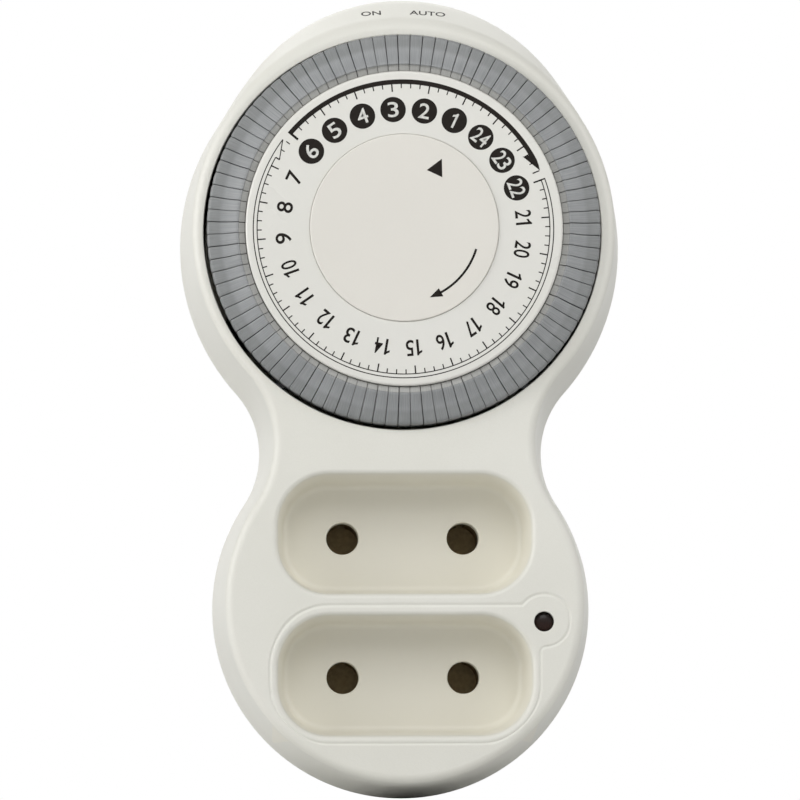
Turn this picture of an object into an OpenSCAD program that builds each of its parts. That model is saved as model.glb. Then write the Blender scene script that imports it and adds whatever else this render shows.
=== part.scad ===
// Plug-in 24-hour mechanical timer switch with two socket wells.
// The face looks along -Y, +Z runs up from the sockets to the dial, and the plug points along +Y.
// The origin lies midway between the two plug pins, on the end face of the plug boss.
// "Depth" is measured from the front face backwards, in millimetres.

/* [Case] */
// Radius of the case round the dial
dial_case_r = 35.3; // [34.5:0.1:38]
// Radius of the arc at the top end
crown_r = 31.1; // [29:0.1:32]
// Height of the top arc's centre above the dial axis
crown_rise = 8; // [7:0.1:9]
// Depth over which the top arc bevels forward into the front face
crown_bevel = 5.5; // [4:0.1:7]
// Radius of the case round the sockets
socket_case_r = 30.1; // [29.5:0.1:33]
// Distance from the socket circle's centre up to the dial axis
dial_height = 58.1; // [57:0.1:60]
// Radius of the hollow waist between the two circles
waist_r = 14.7; // [13:0.1:16]
// Depth of the front housing, from its face to the parting plane
front_depth = 22.6; // [22:0.1:26]
// Depth of the rear housing, from the parting plane to its back
rear_depth = 13; // [12:0.1:18]
// Thickness of the housing walls
wall = 2; // [1.6:0.1:2.2]
// How much the side wall spreads from the face to the parting plane
side_draft = 2.2; // [1:0.1:2.4]
// Rounding of the front edge
edge_r = 1.4; // [1.2:0.1:2.5]
// Rounding of the back edge
rear_edge_r = 3; // [2:0.1:3.4]
// Step at the parting line between the two housings
parting_step = 0.25; // [0.1:0.05:0.5]

/* [Sockets] */
// Width of a socket well at its rim
well_w = 39.4; // [38:0.1:40]
// Height of a socket well at its rim
well_h = 18.6; // [18:0.1:19.4]
// Corner radius of a socket well at its rim
well_corner_r = 8; // [6:0.1:9]
// Depth of a socket well
well_depth = 12; // [10:0.1:12.4]
// How much the well narrows from its rim to its floor, each side
well_draft = 0.8; // [0.4:0.1:1.2]
// Thickness of the well's walls and floor
well_wall = 1.3; // [1.1:0.1:1.4]
// Distance between the centres of the two wells
well_pitch = 21.9; // [21.7:0.1:23]
// How far the pair of wells sits below the socket circle's centre
well_drop = 0.3; // [0:0.1:1]
// Distance between the two pins of a plug
pin_pitch = 19; // [18.5:0.1:19.5]
// Radius of a socket's pin hole
pin_hole_r = 2.53; // [2.5:0.01:2.7]
// Length of the pin hole through the floor and its collar
pin_hole_len = 4; // [3:0.1:4.4]

/* [Plug] */
// Radius of a plug pin
plug_pin_r = 2.4; // [2:0.05:2.4]
// Length of the plug pins beyond the boss
plug_pin_len = 19; // [18:0.1:20]
// Radius of the round plug boss
boss_r = 18.5; // [17.5:0.1:19]
// Length of the plug boss behind the back of the case
boss_len = 17; // [14:0.1:18]
// Width of the two earth slots in the boss
earth_slot_w = 7.2; // [6.5:0.1:7.6]
// Distance from the pin line to the bottom of an earth slot
earth_slot_z = 6.8; // [6:0.1:7.5]

/* [Dial] */
// Width of the case's face round the trippers
dial_rim = 4.6; // [4.5:0.05:4.8]
// Length of a tripper's head along the radius
tripper_len = 6; // [5.95:0.05:6.3]
// Gap between the trippers and the dial opening
dial_gap = 0.45; // [0.3:0.05:0.6]
// Number of trippers to an hour
trippers_per_hour = 4; // [4:1:4]
// Gap between two trippers, in degrees
tripper_gap = 0.28; // [0.2:0.02:0.4]
// How far a tripper travels when it is pushed
tripper_travel = 2.4; // [2:0.1:2.5]
// How far the number disc stands proud of the case
dial_proud = 2.6; // [2:0.1:3]
// Thickness of the number disc
number_disc_t = 1.2; // [1:0.1:1.4]
// Radius of the fixed centre cap
cap_r = 14.7; // [12:0.1:16]
// Gap round the centre cap
cap_gap = 0.3; // [0.2:0.05:0.5]
// Clockwise angle of hour 1 from the top
hour_one_angle = 24.5; // [0:0.5:45]
// Radius of the dial axle
axle_r = 3; // [2.5:0.1:3.5]
// Running clearance of shafts in their bores
running_gap = 0.05; // [0.03:0.01:0.08]

/* [Gears] */
// Module of the dial gear and its pinion
dial_module = 0.8; // [0.8:0.01:0.82]
// Teeth of the dial gear
dial_teeth = 36; // [36:1:36]
// Teeth of the idler's pinion
idler_pinion_teeth = 10; // [10:1:10]
// Module of the idler wheel and the motor pinion
motor_module = 0.5; // [0.48:0.01:0.52]
// Teeth of the idler's wheel
idler_wheel_teeth = 48; // [48:1:48]
// Teeth of the motor pinion
motor_pinion_teeth = 12; // [12:1:12]
// Backlash at the pitch circle, as a share of the module
backlash = 0.3; // [0.2:0.05:0.4]
// Direction from the idler to the motor pinion, anticlockwise from +X
motor_direction = 140; // [135:1:145]

/* [Mechanism] */
// Thickness of the mechanism plate
plate_t = 1.5; // [1.2:0.1:1.7]
// Radius of the motor can
motor_r = 17; // [15:0.1:18.8]
// Height of the motor
motor_h = 13; // [12:0.1:14]
// Position of the motor left of the dial axis
motor_left = 8; // [6:0.1:8.5]
// Distance of the feeler lever's pin from the dial axis
lever_x = 18; // [17.8:0.1:18.4]
// Radius of the feeler lever's pin
lever_pin_r = 1; // [0.8:0.1:1.1]
// Swing of the feeler lever
lever_swing = 15; // [12:1:15]
// Travel of the override switch
override_travel = 4; // [3.5:0.1:4.2]
// Position of the override knob at ON, right of the middle
knob_x = -2.7; // [-3.2:0.1:-2.2]
// Height of the override knob
knob_h = 0.9; // [0.8:0.1:1.1]
// Depth of the flat that the knob slides on, below the top of the crown
knob_sink = 1; // [0.7:0.1:1.2]

/* [Lamp] */
// Position of the lamp right of the middle
lamp_x = 21.5; // [21.2:0.1:22]
// Position of the lamp below the socket circle's centre
lamp_drop = 3; // [2:0.1:4]
// Radius of the lamp's window
lamp_r = 1.5; // [1.3:0.1:1.7]

/* [Fasteners] */
// Radius of a housing screw's thread
screw_r = 1.3; // [1.1:0.1:1.4]
// Radius of a housing screw's head
screw_head_r = 2.2; // [2:0.1:2.3]
// Radius of the screw posts
post_r = 2.8; // [2.6:0.1:3]

/* [Hidden] */
$fn = 64;

case_depth = front_depth + rear_depth;
stack_depth = case_depth + boss_len;
eps = 0.01;
play = 0.3;

// Outline of the case: the two circles, the waist fillet between them and the crown arc on top.
fillet_z = (dial_height * dial_height + pow(socket_case_r + waist_r, 2) - pow(dial_case_r + waist_r, 2))
    / (2 * dial_height);
fillet_x = sqrt(pow(socket_case_r + waist_r, 2) - fillet_z * fillet_z);
low_angle = atan2(fillet_z, fillet_x);
high_angle = atan2(fillet_z - dial_height, fillet_x);
crown_angle = 90 - acos((dial_case_r - crown_r) / crown_rise);
crown_top = dial_height + crown_rise + crown_r;
arc_steps = [18, 8, 12, 8];

// The dial fills the case's opening: trippers, the number disc inside them and the drum that carries both.
tripper_ring_r = dial_case_r - dial_rim;
number_disc_r = tripper_ring_r - tripper_len;
drum_out = number_disc_r - 0.35;
drum_in = drum_out - 1.5;
leg_in = drum_out + 1.8;
leg_out = leg_in + 2.2;

// Depths of the dial's parts, all from the front face.
disc_back = -dial_proud + number_disc_t;
web_t = 1.8;
web_back = disc_back + web_t;
head_front = disc_back - 0.5;
head_back = 2.2;
flange_front = head_back + tripper_travel + 0.4;
flange_back = flange_front + 1.6;
leg_end = flange_back + 2;
gear_front = leg_end + 0.2;
gear_t = 2.4;
plate_front = leg_end + tripper_travel + 2.5;
plate_back = plate_front + plate_t;
axle_back = plate_back + 0.8;
cap_stem_r = 2;
cap_stem_back = disc_back + 3.5;
leg_play = 0.15;
leg_angle = 2.1;
slot_angle = 2.6;
leg_top = 1;
hub_r = axle_r + 3;
opening_r = tripper_ring_r + dial_gap;
ledge_in = leg_out + 0.6;
ledge_t = 1.5;
plate_r = opening_r;
tripper_pitch = 360 / (24 * trippers_per_hour);

// Gear train, with the idler straight below the dial axis.
idler_drop = dial_module * (dial_teeth + idler_pinion_teeth) / 2;
idler_z = dial_height - idler_drop;
motor_reach = motor_module * (idler_wheel_teeth + motor_pinion_teeth) / 2;
pinion_x = motor_reach * cos(motor_direction);
pinion_z = idler_z + motor_reach * sin(motor_direction);
wheel_front = plate_back + 0.5;
wheel_t = 1.5;
wheel_back = wheel_front + wheel_t;
idler_neck_r = 2.2;
arbor_r = 1;
arbor_back = wheel_back + 6;
pillar_r = 2.4;
motor_x = -motor_left;
motor_up = 2.5;
motor_z = dial_height + motor_up;
motor_front = wheel_back + 1;
motor_back = motor_front + motor_h;
motor_wall = 0.8;
shaft_r = 1.2;
rotor_r = 7.5;
rotor_pin_r = 0.75;
coil_in = rotor_r + 1.5;
coil_front = motor_front + 1.5;

// Switch: the lever's pin lies along Z, and its tail reaches back through the plate.
lever_depth = gear_front + 2;
nose_r = 0.9;
nose_x = (leg_in + leg_out) / 2;
nose_depth = leg_end + tripper_travel + 0.4 + nose_r;
tail_lean = 1.4;
tail_x = lever_x - tail_lean;
tail_len = 8.7;
tail_depth = lever_depth + tail_len;
tail_slot_left = tail_x - 1.4;
tail_slot_right = lever_x + tail_len * sin(lever_swing) + nose_r;
barrel_r = 1.9;
barrel_half = 3.5;
lug_t = 2.2;
lug_half = 1.6;
lug_far = barrel_half + play + lug_t;
lever_half_t = 1.5;
slider_front = plate_back + 0.2;
slider_back = slider_front + 2.2;
blade_right = tail_x - nose_r - play;
blade_t = 0.3;
bar_t = 0.8;
contact_t = 0.65;
switch_front = slider_back + 0.4;
switch_back = switch_front + 4;
blade_left = blade_right - blade_t;
fixed_right = blade_left - 2 * contact_t;
fixed_left = fixed_right - bar_t;
contact_rise = 4.4;
contact_z = dial_height + contact_rise;
contact_half = 2;
knob_half = 4;
stem_half = 2;
stem_play = 0.4;
knob_overhang = 1.5;
knob_play = 0.4;
knob_land = crown_top - side_inset(slider_back + knob_overhang) - knob_sink;
knob_base = knob_land + 0.1;
knob_plate_t = 0.4;
rib_pitch = 1.5;
rib_half = 0.4;
push_x = lever_x + 0.7;
push_w = 1.7;
bend_rise = 9.5;
bend_span = 9;
bend_low = dial_height + barrel_half + bend_rise;
bend_high = bend_low + bend_span;

// Sockets and bars.
well_z = [-well_drop + well_pitch / 2, -well_drop - well_pitch / 2];
floor_back = well_depth + well_wall;
collar_back = well_depth + pin_hole_len;
collar_r = pin_hole_r + 1.9;
contact_in = pin_hole_r + 0.07;
contact_out = contact_in + 0.6;
contact_len = 10.2;
bar_front = collar_back + contact_len;
bar_spacing = 2.8;
live_front = bar_front + bar_spacing;
bar_w = 4.2;
bar_foot = well_z[1] - 2;
shank_step = 0.5;
pin_shank_r = plug_pin_r - shank_step;
turn_half = 2;
switched_rise = 9;
live_rise = 7;
switched_z = fillet_z + switched_rise;
live_z = switched_z + live_rise;
neutral_top = idler_z - 5;
blade_foot = switched_z + 1.5;
blade_grip = 6.5;
pin_side = pin_pitch / 2;
lamp_z = -lamp_drop;
lamp_sleeve_r = 3.3;
neon_r = 1.95;
neon_shoulder = 2.2;
lens_seat = wall - 0.2;
neon_front = wall + 1.4;
neon_back = neon_front + 9;
lead_r = 0.35;
lead_side = 0.8;
resistor_r = 1.1;
resistor_front = neon_back + 2;
resistor_back = bar_front - 3;
crossing_depth = bar_front - 2.2;
motor_lead_r = 0.6;
motor_lead_depth = bar_front - motor_lead_r;
live_lead_drop = 14.5;
live_lead_z = motor_z - live_lead_drop;

// Screw places: two beside the dial, two at the waist and one at the bottom.
ring_screw_r = dial_case_r - wall - post_r - 1.1;
ring_screw_angle = 120;
waist_post_x = fillet_x - waist_r - wall - post_r - 1.35;
screw_places = [
    [ring_screw_r * sin(ring_screw_angle), dial_height + ring_screw_r * cos(ring_screw_angle)],
    [-ring_screw_r * sin(ring_screw_angle), dial_height + ring_screw_r * cos(ring_screw_angle)],
    [waist_post_x, fillet_z + 2.3],
    [-waist_post_x, fillet_z + 2.3],
    [0, -(socket_case_r - wall - post_r + 0.4)]
];
web_reach = post_r + 1.8;
web_half = 1;
post_front = plate_front - ledge_t;
post_short = 0.1;
post_back = front_depth - post_short;
head_seat = case_depth - 6;
plate_screw_r = ledge_in + 0.9;
plate_boss_r = 2.2;
plate_thread_r = 0.8;
plate_hole_r = 1;
plate_head_r = 1.5;
plate_head_t = 1.1;
guide = [9, dial_height + 20];
guide_r = 1.6;
motor_foot = [motor_r - 4, motor_r - 2.5];
plate_screw_angles = [30, 140, 220, 330];

white = "#e4e3dc";
grey = "#9a9da0";
brass = "#c9a24a";
steel = "#b9bcc0";
black = "#26211f";

function hour_name(h) = str("trippers_hour_", h < 10 ? "0" : "", h);

// Points of an arc about [x, z], without its last point.
function arc(x, z, r, from, to, steps) =
    [for (i = [0:steps - 1]) let (a = from + (to - from) * i / steps) [x + r * cos(a), z + r * sin(a)]];

// Right half of the outline, from the bottom to the top, inset all round. rise runs from 0, where the
// crown lies on the dial circle, to 1, where it stands at its full height.
function half_outline(inset, rise) = concat(
    arc(0, 0, socket_case_r - inset, -90, low_angle, arc_steps[0]),
    arc(fillet_x, fillet_z, waist_r + inset, low_angle + 180, high_angle + 180, arc_steps[1]),
    arc(0, dial_height, dial_case_r - inset, high_angle, crown_angle, arc_steps[2]),
    arc(0, dial_height + crown_rise * rise, dial_case_r - (dial_case_r - crown_r) * rise - inset,
        crown_angle, 90, arc_steps[3])
);
function outline_top(inset, rise) =
    [[0, dial_height + dial_case_r + (crown_rise + crown_r - dial_case_r) * rise - inset]];
function outline(inset, rise) = let (half = half_outline(inset, rise)) concat(
    half,
    outline_top(inset, rise),
    [for (i = [len(half) - 1:-1:1]) [-half[i][0], half[i][1]]]
);

// How far the front housing's side wall lies inside its widest outline.
function side_inset(depth) = side_draft * (1 - (depth - edge_r) / (front_depth - edge_r));
function crown_share(depth) = max(0, min(1, depth / crown_bevel));

// A rounded rectangle about [0, z].
function well_outline(z, grow) = let (
    r = well_corner_r + grow,
    x = well_w / 2 - well_corner_r,
    h = well_h / 2 - well_corner_r
) concat(
    arc(x, z - h, r, -90, 0, 8), [[x + r, z - h]],
    arc(x, z + h, r, 0, 90, 8), [[x, z + h + r]],
    arc(-x, z + h, r, 90, 180, 8), [[-x - r, z + h]],
    arc(-x, z - h, r, 180, 270, 8), [[-x, z - h - r]]
);

// A solid through rings of [x, z] points, each at its own depth: layers = [[depth, ring], ...].
module loft(layers) {
    n = len(layers[0][1]);
    last = len(layers) - 1;
    points = [for (layer = layers) for (p = layer[1]) [p[0], layer[0] - stack_depth, p[1]]];
    front = [[for (i = [n - 1:-1:0]) i]];
    back = [[for (i = [0:n - 1]) last * n + i]];
    sides = [for (k = [0:last - 1]) for (i = [0:n - 1]) let (
        a = k * n + i,
        b = k * n + (i + 1) % n
    ) each [[a, b, b + n], [a, b + n, a + n]]];
    polyhedron(points, concat(front, sides, back), convexity = 8);
}

// The same solid with both of its ends cut flat.
module cut_loft(layers, front, back) {
    reach = crown_top + 5;
    intersection() {
        loft(layers);
        block([-reach, front, -reach], [reach, back, reach]);
    }
}

// A cylinder about a depth axis at [x, z].
module drum(x, z, r, front, back) {
    translate([x, front - stack_depth, z]) rotate([-90, 0, 0]) cylinder(r = r, h = back - front);
}

// A profile of [radius, depth] points turned about a depth axis at [x, z]. Angles run clockwise from the
// top, as the hours are read from the front.
module turned(x, z, points, from = 0, sweep = 360) {
    translate([x, -stack_depth, z]) rotate([-90, 0, 0]) rotate([0, 0, from - 90])
        rotate_extrude(angle = sweep) polygon(points);
}

// A flat shape in x and z, from one depth to another.
module slab(front, back) {
    translate([0, back - stack_depth, 0]) rotate([90, 0, 0]) linear_extrude(back - front) children();
}

// A block between two corners [x, depth, z].
module block(a, b) {
    translate([a[0], a[1] - stack_depth, a[2]]) cube([b[0] - a[0], b[1] - a[1], b[2] - a[2]]);
}

// A flat strip in x and z that joins two places.
module strip(a, b, w) {
    along = atan2(b[1] - a[1], b[0] - a[0]);
    translate(a) rotate(along) translate([0, -w / 2]) square([norm(b - a), w]);
    translate(b) circle(r = w / 2);
}

// A round wire through places [x, depth, z], with a bead at each bend.
module wire(places, r) {
    for (i = [0:len(places) - 2]) {
        a = places[i];
        b = places[i + 1];
        step = b - a;
        turn = acos(step[2] / norm(step));
        translate([a[0], a[1] - stack_depth, a[2]]) rotate([0, turn, atan2(step[1], step[0])])
            cylinder(r = r, h = norm(step), $fn = 24);
    }
    for (i = [1:len(places) - 2])
        translate([places[i][0], places[i][1] - stack_depth, places[i][2]]) sphere(r = r * 1.15, $fn = 24);
}

// Outline of a spur gear with involute flanks. The first tooth points along the given angle.
function involute_angle(r, base_r) =
    r <= base_r ? 0 : sqrt(pow(r / base_r, 2) - 1) * 180 / PI - acos(base_r / r);
function tooth_half(r, pitch_r, base_r, half_at_pitch) =
    half_at_pitch + involute_angle(pitch_r, base_r) - involute_angle(r, base_r);
function gear_outline(teeth, m, phase) = let (
    pitch_r = m * teeth / 2,
    base_r = pitch_r * cos(20),
    half = 90 / teeth - backlash * m * 90 / (PI * pitch_r),
    radii = [pitch_r - 1.2 * m, pitch_r - 0.45 * m, pitch_r, pitch_r + 0.45 * m, pitch_r + 0.8 * m]
) [for (t = [0:teeth - 1]) let (middle = phase + 360 * t / teeth) each concat(
    [for (r = radii) let (a = middle - tooth_half(r, pitch_r, base_r, half)) [r * cos(a), r * sin(a)]],
    [for (k = [4:-1:0]) let (a = middle + tooth_half(radii[k], pitch_r, base_r, half))
        [radii[k] * cos(a), radii[k] * sin(a)]]
)];
module gear(x, z, teeth, m, phase, front, back) {
    slab(front, back) translate([x, z]) polygon(gear_outline(teeth, m, phase));
}

module front_shell() {
    difference() {
        cut_loft(concat(
            [for (q = [-30, 30, 60]) let (d = sign(q) * edge_r * (1 - cos(q)))
                [d, outline(side_draft + edge_r * (1 - sin(q)), crown_share(d))]],
            [for (d = [edge_r, crown_bevel, front_depth + 1]) [d, outline(side_inset(d), crown_share(d))]]
        ), 0, front_depth);
        cut_loft([
            for (s = [[wall - 1, 2], [wall + 1, 0], [wall + crown_bevel, 0], [front_depth + 3, 0]])
                [s[0], outline(side_inset(s[0]) + wall + s[1], crown_share(s[0] - wall))]
        ], wall, front_depth + 2);
    }
}

module well_body(z) {
    cut_loft([
        [0, well_outline(z, well_wall)],
        [floor_back + 1, well_outline(z, well_wall - well_draft)]
    ], wall / 2, floor_back);
    for (side = [-1, 1]) drum(side * pin_side, z, collar_r, floor_back - well_wall / 2, collar_back);
}

module well_hollow(z) {
    rim = 0.6;
    cut_loft([
        [-rim * 0.6, well_outline(z, rim * 2)],
        [rim * 0.4, well_outline(z, rim * 0.3)],
        [rim * 1.4, well_outline(z, -0.05)],
        [well_depth + 1, well_outline(z, -well_draft)]
    ], -rim / 2, well_depth);
    for (side = [-1, 1]) drum(side * pin_side, z, pin_hole_r, well_depth - 1, collar_back + 1);
}

module screw_post(place, front, back) {
    drum(place[0], place[1], post_r, front, back);
}

module front_housing() color(white) difference() {
    union() {
        front_shell();
        for (z = well_z) well_body(z);
        turned(0, dial_height, [
            [ledge_in, post_front], [dial_case_r - wall, post_front],
            [dial_case_r - wall, plate_front], [ledge_in, plate_front]
        ]);
        for (k = [0:3]) screw_post(screw_places[k], post_front, post_back);
        screw_post(screw_places[4], wall - 0.5, post_back);
        for (k = [0:3]) let (place = screw_places[k], end = place[0] + sign(place[0]) * web_reach)
            block([min(place[0], end), post_front, place[1] - web_half],
                  [max(place[0], end), post_back, place[1] + web_half]);
        for (a = plate_screw_angles)
            drum(plate_screw_r * sin(a), dial_height + plate_screw_r * cos(a), plate_boss_r,
                 post_front, plate_front);
        drum(lamp_x, lamp_z, lamp_sleeve_r, wall - 0.5, neon_back);
    }
    drum(0, dial_height, opening_r, -1, wall + 2);
    for (z = well_z) well_hollow(z);
    for (place = screw_places) drum(place[0], place[1], screw_r, post_front + 2, front_depth + 1);
    for (a = plate_screw_angles)
        drum(plate_screw_r * sin(a), dial_height + plate_screw_r * cos(a), plate_thread_r,
             post_front - 1, plate_front + 1);
    drum(lamp_x, lamp_z, lamp_r + running_gap, -1, wall + 1);
    drum(lamp_x, lamp_z, neon_r + play / 2, lens_seat, neon_back + 1);
    block([knob_x - stem_half - stem_play, slider_front - play, crown_top - wall - 4],
          [knob_x + stem_half + stem_play + override_travel, slider_back + play, crown_top + 1]);
    block([knob_x - knob_half - knob_play, slider_front - knob_overhang - knob_play, knob_land],
          [knob_x + knob_half + knob_play + override_travel, slider_back + knob_overhang + knob_play,
           crown_top + 1]);
}

module plug_outline() difference() {
    circle(r = boss_r);
    for (side = [-1, 1]) {
        translate([-earth_slot_w / 2, side > 0 ? earth_slot_z + earth_slot_w / 2 : -boss_r - 1])
            square([earth_slot_w, boss_r + 1 - earth_slot_z - earth_slot_w / 2]);
        translate([0, side * (earth_slot_z + earth_slot_w / 2)]) circle(r = earth_slot_w / 2);
    }
}

module rear_housing() color(white) difference() {
    union() {
        difference() {
            cut_loft(concat(
                [[front_depth - 1, outline(parting_step, 1)]],
                [for (q = [0:30:60]) [case_depth - rear_edge_r * (1 - sin(q)),
                    outline(1 + rear_edge_r * (1 - cos(q)), 1)]],
                [[case_depth + rear_edge_r * (1 - sin(60)), outline(1 + rear_edge_r * 1.5, 1)]]
            ), front_depth, case_depth);
            cut_loft([
                for (s = [[front_depth - 3, 0], [case_depth - wall - 2, 0.9], [case_depth - wall + 1, 2.5]])
                    [s[0], outline(parting_step + wall + s[1], 1)]
            ], front_depth - 2, case_depth - wall);
        }
        slab(case_depth - wall / 2, stack_depth) plug_outline();
        for (side = [-1, 1])
            drum(side * pin_side, 0, plug_pin_r + 1.8, live_front + bar_t + 1, case_depth - wall / 2);
        for (place = screw_places) screw_post(place, front_depth + post_short, case_depth - wall / 2);
        drum(0, idler_z, pillar_r, wheel_back + play, case_depth - wall / 2);
        drum(guide[0], guide[1], guide_r, slider_back + play, case_depth - wall / 2);
        turned(motor_x, motor_z, [
            [motor_foot[0], motor_back], [motor_foot[1], motor_back],
            [motor_foot[1], case_depth - wall / 2], [motor_foot[0], case_depth - wall / 2]
        ]);
    }
    for (side = [-1, 1]) drum(side * pin_side, 0, pin_shank_r, live_front, stack_depth + 1);
    for (place = screw_places) turned(place[0], place[1], [
        [0, front_depth - 1], [screw_r + 0.2, front_depth - 1], [screw_r + 0.2, head_seat],
        [screw_head_r + 0.3, head_seat], [screw_head_r + 0.3, case_depth + 1], [0, case_depth + 1]
    ]);
    drum(0, idler_z, arbor_r, wheel_back, arbor_back);
}

module housing_screws() color(steel) for (place = screw_places)
    turned(place[0], place[1], [
        [0, front_depth - 6], [0.3, front_depth - 6], [screw_r, front_depth - 4.4], [screw_r, head_seat],
        [screw_head_r, head_seat], [screw_head_r, head_seat + 1.6], [screw_head_r - 0.4, head_seat + 2],
        [0, head_seat + 2]
    ]);

// Each pin's shoulder sits on the boss, and its thinner shank runs through to the bars.
module plug_pins() color(steel) for (side = [-1, 1])
    turned(side * pin_side, 0, [
        [0, live_front + bar_t], [pin_shank_r, live_front + bar_t], [pin_shank_r, stack_depth],
        [plug_pin_r, stack_depth], [plug_pin_r, stack_depth + plug_pin_len - 1.2],
        [plug_pin_r - 1, stack_depth + plug_pin_len], [0, stack_depth + plug_pin_len]
    ]);

module socket_contacts() color(brass) for (z = well_z, side = [-1, 1]) difference() {
    drum(side * pin_side, z, contact_out, collar_back, bar_front);
    drum(side * pin_side, z, contact_in, collar_back - 1, bar_front - 1);
    block([side * pin_side - 0.5, collar_back - 1, z],
          [side * pin_side + 0.5, bar_front - 1, z + contact_out + 1]);
}

module neutral_bar() color(brass) {
    slab(bar_front, bar_front + bar_t) strip([-pin_side, bar_foot], [-pin_side, neutral_top], bar_w);
    drum(-pin_side, 0, pin_shank_r, bar_front + bar_t - eps, live_front + bar_t);
}

// A bar that runs up beside the contacts, steps across to the switch and turns forward there.
module switch_bar(depth, foot, turn_z, left, top) {
    slab(depth, depth + bar_t) {
        strip([pin_side, foot], [pin_side, turn_z - bar_w], bar_w);
        strip([pin_side, turn_z - bar_w], [left - turn_half / 2, turn_z], 2 * turn_half);
    }
    block([left, switch_front, turn_z - turn_half], [left + bar_t, depth + bar_t, turn_z + turn_half]);
    block([left, switch_front, turn_z - turn_half], [left + bar_t, switch_back, top]);
}

module switched_bar() color(brass)
    switch_bar(bar_front, bar_foot, switched_z, blade_right, blade_foot + blade_grip);

module live_bar() color(brass) switch_bar(live_front, 0, live_z, fixed_left, contact_z + contact_half);

module lamp_lens() color("#5a1a10") turned(lamp_x, lamp_z, [
    [0, 0.5], [lamp_r - 0.3, 0.6], [lamp_r, 1], [lamp_r, lens_seat],
    [neon_r - 0.1, lens_seat], [neon_r - 0.1, neon_front], [0, neon_front]
]);

module neon_lamp() color("#e8c9b0") turned(lamp_x, lamp_z, [
    [0, neon_front], [0.8, neon_front + 0.1], [neon_r - 0.2, neon_front + 1.4],
    [neon_r, neon_front + neon_shoulder], [neon_r, neon_back], [0, neon_back]
]);

module lamp_resistor() color("#b98a52")
    drum(lamp_x - lead_side, lamp_z, resistor_r, resistor_front, resistor_back);

module lamp_leads() color(steel) {
    near = lamp_x - lead_side;
    far = lamp_x + lead_side;
    side_z = lamp_z - 1;
    wire([[near, neon_back, lamp_z], [near, resistor_front, lamp_z]], lead_r);
    wire([[near, resistor_back, lamp_z], [near, bar_front + bar_t / 2, lamp_z],
          [pin_side + bar_w / 2, bar_front + bar_t / 2, lamp_z]], lead_r);
    wire([[far, neon_back, side_z], [far, crossing_depth, side_z],
          [-pin_side, crossing_depth, side_z], [-pin_side, bar_front, side_z]], lead_r);
}

module mechanism_plate() color("#d8d6cc") difference() {
    union() {
        slab(plate_front, plate_back) difference() {
            translate([0, dial_height]) circle(r = plate_r);
            for (k = [0:3]) translate(screw_places[k]) circle(r = post_r + play);
            for (k = [0, 1]) let (place = screw_places[k])
                translate([place[0] > 0 ? place[0] : place[0] - 2 * post_r, place[1] - web_half - play])
                    square([2 * post_r, 2 * (web_half + play)]);
            translate([0, idler_z]) circle(r = dial_module * (idler_pinion_teeth / 2 + 0.8) + play);
            translate([tail_slot_left, dial_height - lever_half_t - play])
                square([tail_slot_right - tail_slot_left, 2 * (lever_half_t + play)]);
        }
        for (z = [dial_height - lug_far, dial_height + lug_far - lug_t])
            block([lever_x - lug_half, lever_depth - lug_half, z],
                  [lever_x + lug_half, plate_front + eps, z + lug_t]);
        drum(0, dial_height, axle_r + 1.5, plate_back - eps, axle_back);
    }
    drum(0, dial_height, axle_r - 0.5, plate_front - 1, plate_back + 2);
    translate([lever_x, lever_depth - stack_depth, dial_height - lug_far - 1])
        cylinder(r = lever_pin_r, h = 2 * (lug_far + 1));
    for (a = plate_screw_angles)
        drum(plate_screw_r * sin(a), dial_height + plate_screw_r * cos(a), plate_hole_r,
             plate_front - 1, plate_back + 1);
}

module plate_screws() color(steel) for (a = plate_screw_angles)
    turned(plate_screw_r * sin(a), dial_height + plate_screw_r * cos(a), [
        [0, post_front], [plate_thread_r, post_front], [plate_thread_r, plate_back],
        [plate_head_r, plate_back], [plate_head_r, plate_back + plate_head_t - 0.3],
        [plate_head_r - 0.3, plate_back + plate_head_t], [0, plate_back + plate_head_t]
    ]);

module dial_axle() color(steel) turned(0, dial_height, [
    [cap_stem_r, disc_back - play], [axle_r, disc_back - play], [axle_r, plate_front],
    [axle_r - 0.5, plate_front], [axle_r - 0.5, axle_back], [0, axle_back], [0, cap_stem_back + 0.5],
    [cap_stem_r, cap_stem_back + 0.5]
]);

module centre_cap() color(white) turned(0, dial_height, [
    [0, -dial_proud - 0.3], [cap_r - 0.4, -dial_proud - 0.3], [cap_r, -dial_proud],
    [cap_r, disc_back - play], [cap_stem_r, disc_back - play], [cap_stem_r, cap_stem_back],
    [0, cap_stem_back]
]);

module number_disc() color(white) turned(0, dial_height, [
    [cap_r + cap_gap, -dial_proud], [number_disc_r - 0.4, -dial_proud], [number_disc_r, -dial_proud + 0.4],
    [number_disc_r, disc_back], [cap_r + cap_gap, disc_back]
]);

module tripper_carrier() color(white) difference() {
    turned(0, dial_height, [
        [axle_r + running_gap, disc_back], [drum_out, disc_back], [drum_out, flange_front],
        [tripper_ring_r - 0.3, flange_front], [tripper_ring_r - 0.3, flange_back], [drum_in, flange_back],
        [drum_in, web_back], [hub_r + 1.5, web_back], [hub_r + 1.5, gear_front], [hub_r, gear_front],
        [hub_r, plate_front - play], [axle_r + running_gap, plate_front - play]
    ]);
    for (k = [0:24 * trippers_per_hour - 1])
        turned(0, dial_height, [
            [leg_in - leg_play, flange_front - 1], [leg_out + leg_play, flange_front - 1],
            [leg_out + leg_play, flange_back + 1], [leg_in - leg_play, flange_back + 1]
        ], hour_one_angle - tripper_pitch * (k + 0.5) - slot_angle / 2, slot_angle);
}

module dial_gear() color("#e0ddd0") difference() {
    gear(0, dial_height, dial_teeth, dial_module, -90 + 180 / dial_teeth, gear_front, gear_front + gear_t);
    drum(0, dial_height, hub_r, gear_front - 1, gear_front + gear_t + 1);
}

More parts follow.
